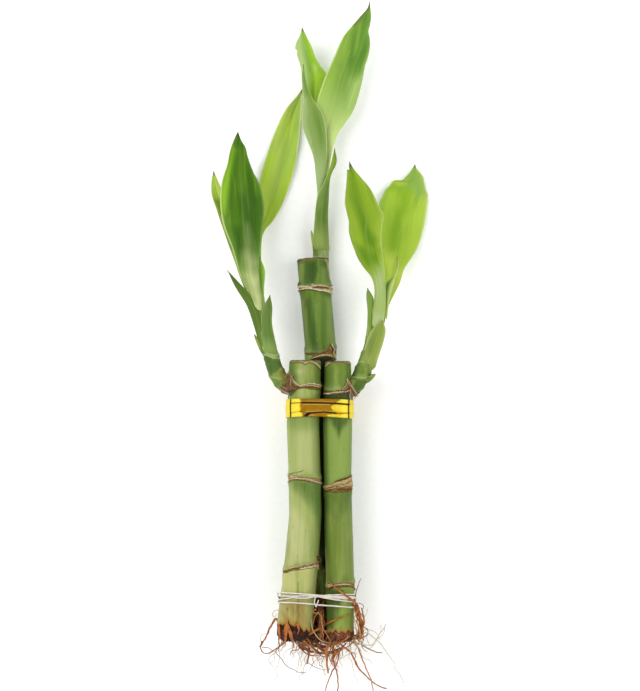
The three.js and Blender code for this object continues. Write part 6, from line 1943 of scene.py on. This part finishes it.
# Thinner roots seen in the photograph, given in the same way
SIDE_ROOTS = [
    (0.3, 0.85, [(311, 619, 30), (313, 630, 31), (319.6, 639.6, 31), (325, 642, 30), (331, 643, 29)]),
    (0.24, 0.8, [(317.6, 612, 30), (321.6, 617, 31), (322, 626, 32), (326.6, 634, 32), (331, 643, 30)]),
    (0.26, 0.7, [(318, 613, 30), (314.6, 617, 30), (313.6, 622, 30), (312, 630, 30)]),
    (0.5, 0.75, [(316, 609, 28), (312.6, 611.4, 28.4), (315, 613.4, 28.6), (319, 612, 28)]),
    (0.3, 0.8, [(357, 634, 31), (355.6, 626, 32), (354.6, 620, 32), (356.4, 613, 31), (359.4, 608, 29)]),
    (0.3, 0.7, [(363, 640, 28), (359, 629, 30), (357.4, 620, 30), (354.6, 611, 30), (354, 604, 29)]),
    (0.5, 0.8, [(356, 620, 30), (359, 628, 30.6), (360, 637, 30), (358.4, 645, 28)]),
    (0.34, 0.6, [(362, 614, 27), (364.4, 622, 28), (362, 630, 29), (364, 638, 27), (361.4, 644, 26)]),
    (0.2, 0.3, [(358.6, 603, 27), (362.4, 604.6, 26), (363.6, 607, 26), (361.6, 610.4, 26)]),
    (0.24, 0.2, [(355.4, 597, 28), (356, 592, 28), (358.4, 585, 28), (360.8, 578.4, 28)]),
    (0.34, 0.66, [(356.6, 606, 28), (359, 612, 29), (361, 621, 29), (360.4, 632, 29)]),
    (0.4, 0.75, [(357, 635, 27), (353, 642, 28), (346.4, 647.6, 28), (340, 650.4, 27), (337, 652.4, 26),
                 (338.4, 657, 25)]),
    (0.26, 0.35, [(308, 644, 26), (314, 648, 25), (319.6, 654.4, 24), (323.4, 657, 23)]),
    (0.28, 0.8, [(304, 646, 24), (310, 655, 24), (318, 655.6, 24), (325, 656.4, 24), (331, 655, 23)]),
    (0.18, 0.15, [(307, 662, 22), (313, 666, 20), (319, 668.6, 18), (325, 669.6, 16), (330, 669.6, 14)]),
    (0.18, 0.9, [(326, 653, 22), (334, 658, 20), (341, 658.2, 18), (347, 655, 17), (352, 652.4, 16),
                 (357, 653.6, 15)]),
    (0.2, 0.95, [(366, 637, 20), (371, 646, 18), (376, 640, 17), (383, 634, 16), (385.4, 626, 15)]),
    (0.18, 0.96, [(363, 643, 20), (368, 648, 18), (372, 647, 17), (378, 638, 16), (381, 630, 15),
                  (380.6, 625, 15)]),
    (0.18, 0.9, [(362, 630, 22), (370, 630, 21), (377, 634, 20), (380, 640, 18)]),
    (0.14, 0.9, [(361, 624, 22), (364, 618, 22), (366.6, 613, 22), (367.4, 609, 22)]),
    (0.22, 0.9, [(284, 616, 28), (277.6, 610, 26), (273.4, 612, 24), (272.2, 614.6, 24), (274.4, 617.4, 24),
                 (276.6, 613.6, 25)]),
    (0.2, 0.2, [(262, 647.4, 14), (268, 647.6, 14), (272.4, 650.4, 14), (276, 652.4, 14)]),
    (0.14, 0.8, [(266, 633.6, 18), (262, 634.6, 16), (260.2, 637.6, 15), (261, 642, 14)]),
    (0.16, 0.7, [(275.6, 652.6, 14), (272, 655, 13), (268.6, 660, 12), (271.4, 664.4, 11), (276, 668.4, 10)]),
    (0.14, 0.6, [(286, 645, 16), (282.4, 647, 15), (281.4, 651, 14)]),
    (0.12, 0.8, [(294, 647, 16), (287, 650.6, 14), (283.6, 655, 12), (285, 659, 11)]),
    (0.12, 0.85, [(304, 658, 14), (301, 664, 12), (299.6, 669, 11), (302, 672, 10)]),
    (0.26, 0.5, [(322, 640, 26), (317, 650, 26), (312.6, 658.6, 25), (314.4, 664.4, 24)]),
    (0.3, 0.6, [(331, 645, 27), (334.6, 652, 26), (330.6, 660, 24), (333.4, 667, 22)]),
    (0.28, 0.4, [(335, 644, 28), (341.6, 650, 26), (343, 656, 24)]),
    (0.3, 0.05, [(317, 582, 21), (320.6, 576, 22.4), (323.4, 571.4, 23.4), (326, 568, 24.4)]),
]

# The fringe round each crown, drawn as the solids' is but thinner, and how many hair roots grow beside it,
# each with this many bends
FRINGE = {"left": 6, "right": 7, "back": 5}
FRINGE_THIN = 0.36
FINE_ROOTS = {"left": 9, "right": 34, "back": 34}
FINE_BENDS = 6

# Tangles of roots along a line in the photograph: how many, how far they stray from it in points, the
# smallest and largest radius and tone, and the line with its height
BUNDLES = [
    (20, 4.2, (0.26, 0.48), (0.05, 0.4), [(320, 642, 22), (320.5, 630, 24), (320.4, 616, 24),
                                          (319.6, 601, 23)]),
    (5, 2.6, (0.14, 0.24), (0.75, 0.95), [(322, 642, 26), (320, 630, 26), (320, 618, 25), (319, 606, 24)]),
    (13, 3.0, (0.22, 0.5), (0.2, 0.8), [(354, 603, 28), (357.6, 611, 28.4), (360.6, 621, 28),
                                        (360.6, 632, 27), (357, 641, 26)]),
    (9, 2.8, (0.22, 0.5), (0.1, 0.6), [(302, 633, 30), (307, 641, 29), (313, 648, 27), (320, 653, 25)]),
    (9, 2.4, (0.22, 0.46), (0.3, 0.72), [(317, 644, 26), (323, 650, 26), (328, 655, 25), (330.4, 660, 24)]),
    (8, 2.6, (0.2, 0.44), (0.15, 0.6), [(296, 641, 28), (306, 649, 26), (318, 653, 25), (332, 652, 25),
                                        (344, 646, 26)]),
    (6, 1.6, (0.2, 0.36), (0.4, 0.7), [(340, 650, 27), (336, 653, 27), (332.6, 658, 25), (331.6, 665, 23)]),
    (6, 1.8, (0.18, 0.3), (0.45, 0.8), [(352, 634, 31), (345, 639, 31), (338, 643, 30), (331, 646, 29)]),
]
ROOT_LIMITS = (np.array([-58.5, -139.5, 0.3]), np.array([57.0, -50.0, 35.6]))
ROOT_BENDS = (17, 9.5, 5.3)
ROOT_WIDTHS = (1, 1, 0.9, 0.75)
ROOT_LEAST = 0.07


def wandering(line, random, size):
    """A root's line with small smooth bends that grow from its start."""
    length = arc_lengths(line)
    room = smoothstep(length, 0, 4)[:, None]
    bends = np.stack([waves(length, random, ROOT_BENDS, size) for _ in range(3)], -1)
    return np.clip(line + room * bends * [1, 1, 0.6], *ROOT_LIMITS)


def add_root(pile, points, radius, random, tone, wander, tip=0.4):
    """One root through the points. wander is how far it strays, and tip its end's share of the radius."""
    dense = catmull_rom(points, 10)
    spacing = max(0.55, radius * 1.1)
    count = max(8, int(arc_lengths(dense)[-1] / spacing))
    shares = np.linspace(0, 1, count)
    line = wandering(resample(dense, shares), random, wander)
    sides = 12 if radius > 0.5 else 7 if radius > 0.2 else 5
    knobbly = 1 + waves(shares * count, random, (7, 3.3), 0.16)
    radii = radius * spread([*ROOT_WIDTHS, tip], shares) * knobbly
    rings = rings_along(line, np.maximum(radii, ROOT_LEAST), sides)
    along = np.concatenate([np.repeat(shares, sides), [0, 1]])
    marks = np.stack([along, tone + 0 * along, 0 * along], -1)
    pile.add(with_hubs(rings), tube_faces(count, sides), root=marks)


def add_roots(pile, roots, random, wander, tip):
    for radius, tone, path in roots:
        add_root(pile, path_of(path), radius, random, tone, wander, tip)


def over_cane(cane, px, py, lift):
    """The height of a cane's front over a point of the photograph, raised by lift."""
    x, radius = axis_at(cane, at(px, py, cane["z"])[..., 1])
    away = at(px, py, cane["z"] + radius)[..., 0] - x
    return cane["z"] + np.sqrt(np.maximum((radius + lift) ** 2 - away ** 2, 0.1))


def add_root_over_cane(pile, root, random):
    route = catmull_rom(root["line"])
    route = resample(route, np.linspace(0, 1, 2 * len(root["line"]) + 1))
    px, py = route.T
    lying = at(px, py, over_cane(CANES["right"], px, py, root["lift"] + root["radius"]))
    points = np.vstack([path_of(root["start"]), lying])
    add_root(pile, points, root["radius"], random, root["tone"], wander=0.1)


def add_fringe(pile, random, wobble):
    """The solids' own fringe of roots: random gives their places, and wobble their bends and tones."""
    for side, count in FRINGE.items():
        cane = CANES[side]
        x, radius = axis_at(cane, cane["root_y"])
        for i in range(count):
            angle = (i + 0.6 * random()) / count * 2 * math.pi
            outward = np.array([math.cos(angle), 0, math.sin(angle)])
            reach = 12 + 14 * random()
            spread_out = (0.2 + 0.5 * random()) * reach
            sway = (random() - 0.5) * 6
            thick = 0.45 + 0.35 * random()
            start = np.array([x, cane["crown_y"] + 3, cane["z"]]) + outward * radius * 0.6
            mid = start + outward * (spread_out * 0.5 + 1.5) + [sway * 0.5, -3 - reach * 0.4, 0]
            end = mid + outward * spread_out * 0.5 + [sway, -reach * 0.55, -reach * 0.25]
            mid[2], end[2] = max(mid[2], thick + 0.5), max(end[2], thick + 0.5)
            tone = 0.75 + 0.25 * wobble()
            add_root(pile, [start, mid, end], thick * FRINGE_THIN, wobble, tone, wander=1.1)


def add_bundles(pile, random):
    """Tangled roots that cross from side to side of each bundle's line."""
    for count, stray, (thin, thick), (dark, pale), path in BUNDLES:
        middle = np.array(path, float)
        for _ in range(count):
            aside = stray * (2 * random() - 1)
            crossing = stray * (2 * random() - 1)
            bends = [0.5 * stray * (random() - 0.5) for _ in middle]
            shift = np.linspace(aside, crossing, len(middle)) + bends
            px, py, z = (middle + np.stack([shift, 0.5 * shift[::-1], 0.5 * shift], -1)).T
            start, end = 1.5 * random(), 1.5 * random()
            line = resample(catmull_rom(at(px, py, z)), np.linspace(0.1 * start, 1 - 0.1 * end, 9))
            radius, tone = lerp(thin, thick, random()), lerp(dark, pale, random())
            add_root(pile, line, radius, random, tone, wander=0.3 + 0.7 * random())


def add_fine_roots(pile, random):
    """Thin, curly roots all round each crown, some of them pale."""
    for side, count in FINE_ROOTS.items():
        cane = CANES[side]
        x, radius = axis_at(cane, cane["root_y"])
        for _ in range(count):
            angle = random() * 2 * math.pi
            outward = np.array([math.cos(angle), 0, math.sin(angle)])
            start = np.array([x, cane["crown_y"] + 0.5 + 6 * random(), cane["z"]]) + outward * radius * 0.86
            heading = outward * (0.7 + 0.6 * random())
            heading += [0.7 * (random() - 0.5), -0.4 - 1.1 * random(), -0.2 * random()]
            reach = 4 + 11 * random() ** 1.6
            points = [start]
            for _ in range(FINE_BENDS):
                bend = [1.9 * (random() - 0.5), 1.5 * (random() - 0.56), 0.9 * (random() - 0.5)]
                heading = unit(heading + bend)
                points.append(points[-1] + heading * reach / FINE_BENDS)
            thick = 0.12 + 0.22 * random() ** 2
            tone = 0.9 if random() > 0.8 else 0.7 * random()
            add_root(pile, np.clip(points, *ROOT_LIMITS), thick, random, tone, wander=0.3 + 0.4 * random())


# A torn strip of skin hangs over the left cane's cut end at each of these: its tip above, its foot below,
# and its half width, in the photograph's points. Each is this many fibres
STRIP_FIBRES = 6
TORN_STRIPS = [(287.5, 619.6, 285.6, 638, 1.9), (288.4, 625, 293.4, 641, 0.9),
               (279.2, 624.5, 279.6, 635, 0.9), (297.3, 622.3, 298.4, 627.5, 1.0)]


def add_torn_strips(pile, random):
    """Orange fibres in pointed strips, over the edge of the left cut end."""
    for top_x, top_y, foot_x, foot_y, half in TORN_STRIPS:
        for _ in range(STRIP_FIBRES):
            shift = half * (2 * random() - 1)
            px = np.array([top_x + 0.2 * shift, lerp(top_x, foot_x, 0.5) + shift, foot_x + 0.8 * shift])
            py = np.array([top_y + 0.8 * abs(shift), (top_y + foot_y) / 2, foot_y + 3 * random()])
            z = over_cane(CANES["left"], px, py, 0.35)
            radius, tone = 0.26 + 0.16 * random(), 0.5 + 0.2 * random()
            add_root(pile, at(px, py, z), radius, random, tone, wander=0.1)


def root_material():
    """Orange-brown root skin from dark to pale, with dark and bright patches, fine mottling and duller tips.
    """
    bark = Finish("root_brown", roughness=0.6, Specular_IOR_Level=0.35)
    along, tone, _ = bark.parts(bark.attribute("root", "Vector"))
    here = bark.millimetres()
    patches = bark.noise(here, 0.32, 3.0)
    fine = bark.noise(here, 2.4, 3.0, 0.6)
    base = bark.ramp(tone, [(0.0, "3a1e10"), (0.25, "86400e"), (0.55, "c06812"), (0.78, "d0934a"),
                            (0.95, "e2dab8")])
    aged = bark.fade(tone, 0.95, 0.7)
    dark = bark.math("MULTIPLY", bark.fade(patches, 0.52, 0.66, 0.0, 0.6), aged)
    bright = bark.math("MULTIPLY", bark.fade(patches, 0.46, 0.34, 0.0, 0.5), aged)
    base = bark.mix(dark, base, "5e2a10")
    base = bark.mix(bright, base, "dc8c30")
    base = bark.shade(bark.fade(fine, 0.42, 0.62, 0.0, 0.5), base, 0.7)
    base = bark.mix(bark.fade(along, 0.7, 1.0, 0.0, 0.4), base, "8a6a48")
    bark.set("Base Color", base)
    bark.set("Normal", bark.bump(fine, 0.2))
    return bark.material


def crown_material():
    """The cut end's nearly black crust with red-brown and orange fibres."""
    crust = Finish("crown_brown", roughness=0.85, Specular_IOR_Level=0.2)
    here = crust.millimetres()
    fibres = crust.noise(crust.scaled(here, 0.9, 0.3, 0.9), 1.0, 4.0, 0.6)
    lumps = crust.noise(here, 0.28, 3.0)
    base = crust.ramp(fibres, [(0.35, "140c08"), (0.52, "2e160c"), (0.68, "5c2e18")])
    base = crust.mix(crust.fade(lumps, 0.54, 0.68, 0.0, 0.75), base, "84482a")
    base = crust.mix(crust.math("MULTIPLY", crust.attribute("crust"), crust.fade(fibres, 0.34, 0.6)), base,
                     "8a5238")
    crust.set("Base Color", base)
    crust.set("Normal", crust.bump(lumps, 0.8, crust.bump(fibres, 0.4)))
    return crust.material


def root_pieces():
    crowns, thick, fine = Pile(), Pile(), Pile()
    crown_random = random_from(5)
    for side, cane in CANES.items():
        crowns.add(*crown_body(cane, crown_random), crust=CROWN_TONES[side])
    crowns.piece("root_crowns", crown_material(), "root", ["roots"])
    bark = root_material()
    wobble = random_from(91)
    add_roots(thick, MAIN_ROOTS, wobble, wander=0.22, tip=0.7)
    add_root_over_cane(thick, OVER_ROOT, wobble)
    add_root_over_cane(thick, CROSSING_ROOT, wobble)
    add_fringe(thick, random_from(11), wobble)
    add_torn_strips(thick, random_from(63))
    add_bundles(thick, random_from(77))
    thick.piece("roots_thick", bark, "root", ["roots"])
    add_roots(fine, SIDE_ROOTS, wobble, wander=0.12, tip=0.6)
    add_fine_roots(fine, random_from(203))
    fine.piece("roots_fine", bark, "root", ["roots"])


root_pieces()


# Stage, light and camera

SENSOR_MM = 36
CLIP = (0.05, 10)
FLOOR_HALF = 3.0

# How bright the studio's dome is at its sides and at its top, and between which heights it fades
DOME_SIDES = 1.38
DOME_TOP = 0.18
DOME_FADE = (0.5, 0.93)

# Each soft box's place, size and power, in metres and watts. All three face LIT_SPOT
LIT_SPOT = (0, 0.05, 0.02)
SOFTBOXES = {
    "key_softbox": ((-0.8, 0.4, 1.1), (0.8, 1.3), 12.6),
    "fill_softbox": ((0.95, 0.1, 1.05), (0.7, 1.2), 7.2),
    "end_softbox": ((0.1, -1.0, 0.9), (1.2, 0.6), 3.6),
}


def add_floor():
    mesh = bpy.data.meshes.new("floor")
    signs = ((-1, -1), (1, -1), (1, 1), (-1, 1))
    corners = [(x * FLOOR_HALF, y * FLOOR_HALF, 0) for x, y in signs]
    mesh.from_pydata(corners, [], [(0, 1, 2, 3)])
    floor = bpy.data.objects.new("floor", mesh)
    bpy.context.scene.collection.objects.link(floor)
    paper = Finish("floor_white", roughness=0.9, Specular_IOR_Level=0.1)
    grain = paper.noise(paper.position(), 400, 2.0)
    paper.set("Base Color", paper.mix(grain, colour("f4f4f3", 1), colour("fbfbfa", 1)))
    mesh.materials.append(paper.material)


def add_light(name, location, size, power):
    light = bpy.data.lights.new(name, "AREA")
    light.shape = "RECTANGLE"
    light.size, light.size_y = size
    light.energy = power
    lamp = bpy.data.objects.new(name, light)
    lamp.location = location
    lamp.rotation_euler = (Vector(LIT_SPOT) - Vector(location)).to_track_quat("-Z", "Y").to_euler()
    bpy.context.scene.collection.objects.link(lamp)


def add_lights():
    """A pale studio, bright all round and darker straight above, with three soft boxes."""
    world = bpy.data.worlds.new("studio")
    world.use_nodes = True
    tree = world.node_tree
    place = tree.nodes.new("ShaderNodeTexCoord")
    parts = tree.nodes.new("ShaderNodeSeparateXYZ")
    dome = tree.nodes.new("ShaderNodeMapRange")
    dome.interpolation_type = "SMOOTHSTEP"
    low, high = DOME_FADE
    for key, value in {"From Min": low, "From Max": high, "To Min": DOME_SIDES, "To Max": DOME_TOP}.items():
        dome.inputs[key].default_value = value
    tree.links.new(place.outputs["Generated"], parts.inputs[0])
    tree.links.new(parts.outputs["Z"], dome.inputs["Value"])
    tree.links.new(dome.outputs[0], tree.nodes["Background"].inputs["Strength"])
    tree.nodes["Background"].inputs["Color"].default_value = (1.0, 1.0, 1.0, 1.0)
    bpy.context.scene.world = world
    for name, settings in SOFTBOXES.items():
        add_light(name, *settings)


def add_camera():
    """Looks straight down from where the photograph's frame is true, the photograph's height across."""
    distance = (VIEW[2] - PLANE_Z) * METRES
    camera = bpy.data.cameras.new("photo_camera")
    camera.sensor_fit = "AUTO"
    camera.sensor_width = SENSOR_MM
    camera.lens = SENSOR_MM * distance / (PHOTO_HEIGHT * MM_PER_POINT * METRES)
    camera.clip_start, camera.clip_end = CLIP
    holder = bpy.data.objects.new("photo_camera", camera)
    holder.location = Vector(VIEW) * METRES
    bpy.context.scene.collection.objects.link(holder)
    bpy.context.scene.camera = holder


add_floor()
add_lights()
add_camera()
bpy.context.scene.view_settings.view_transform = "Standard"
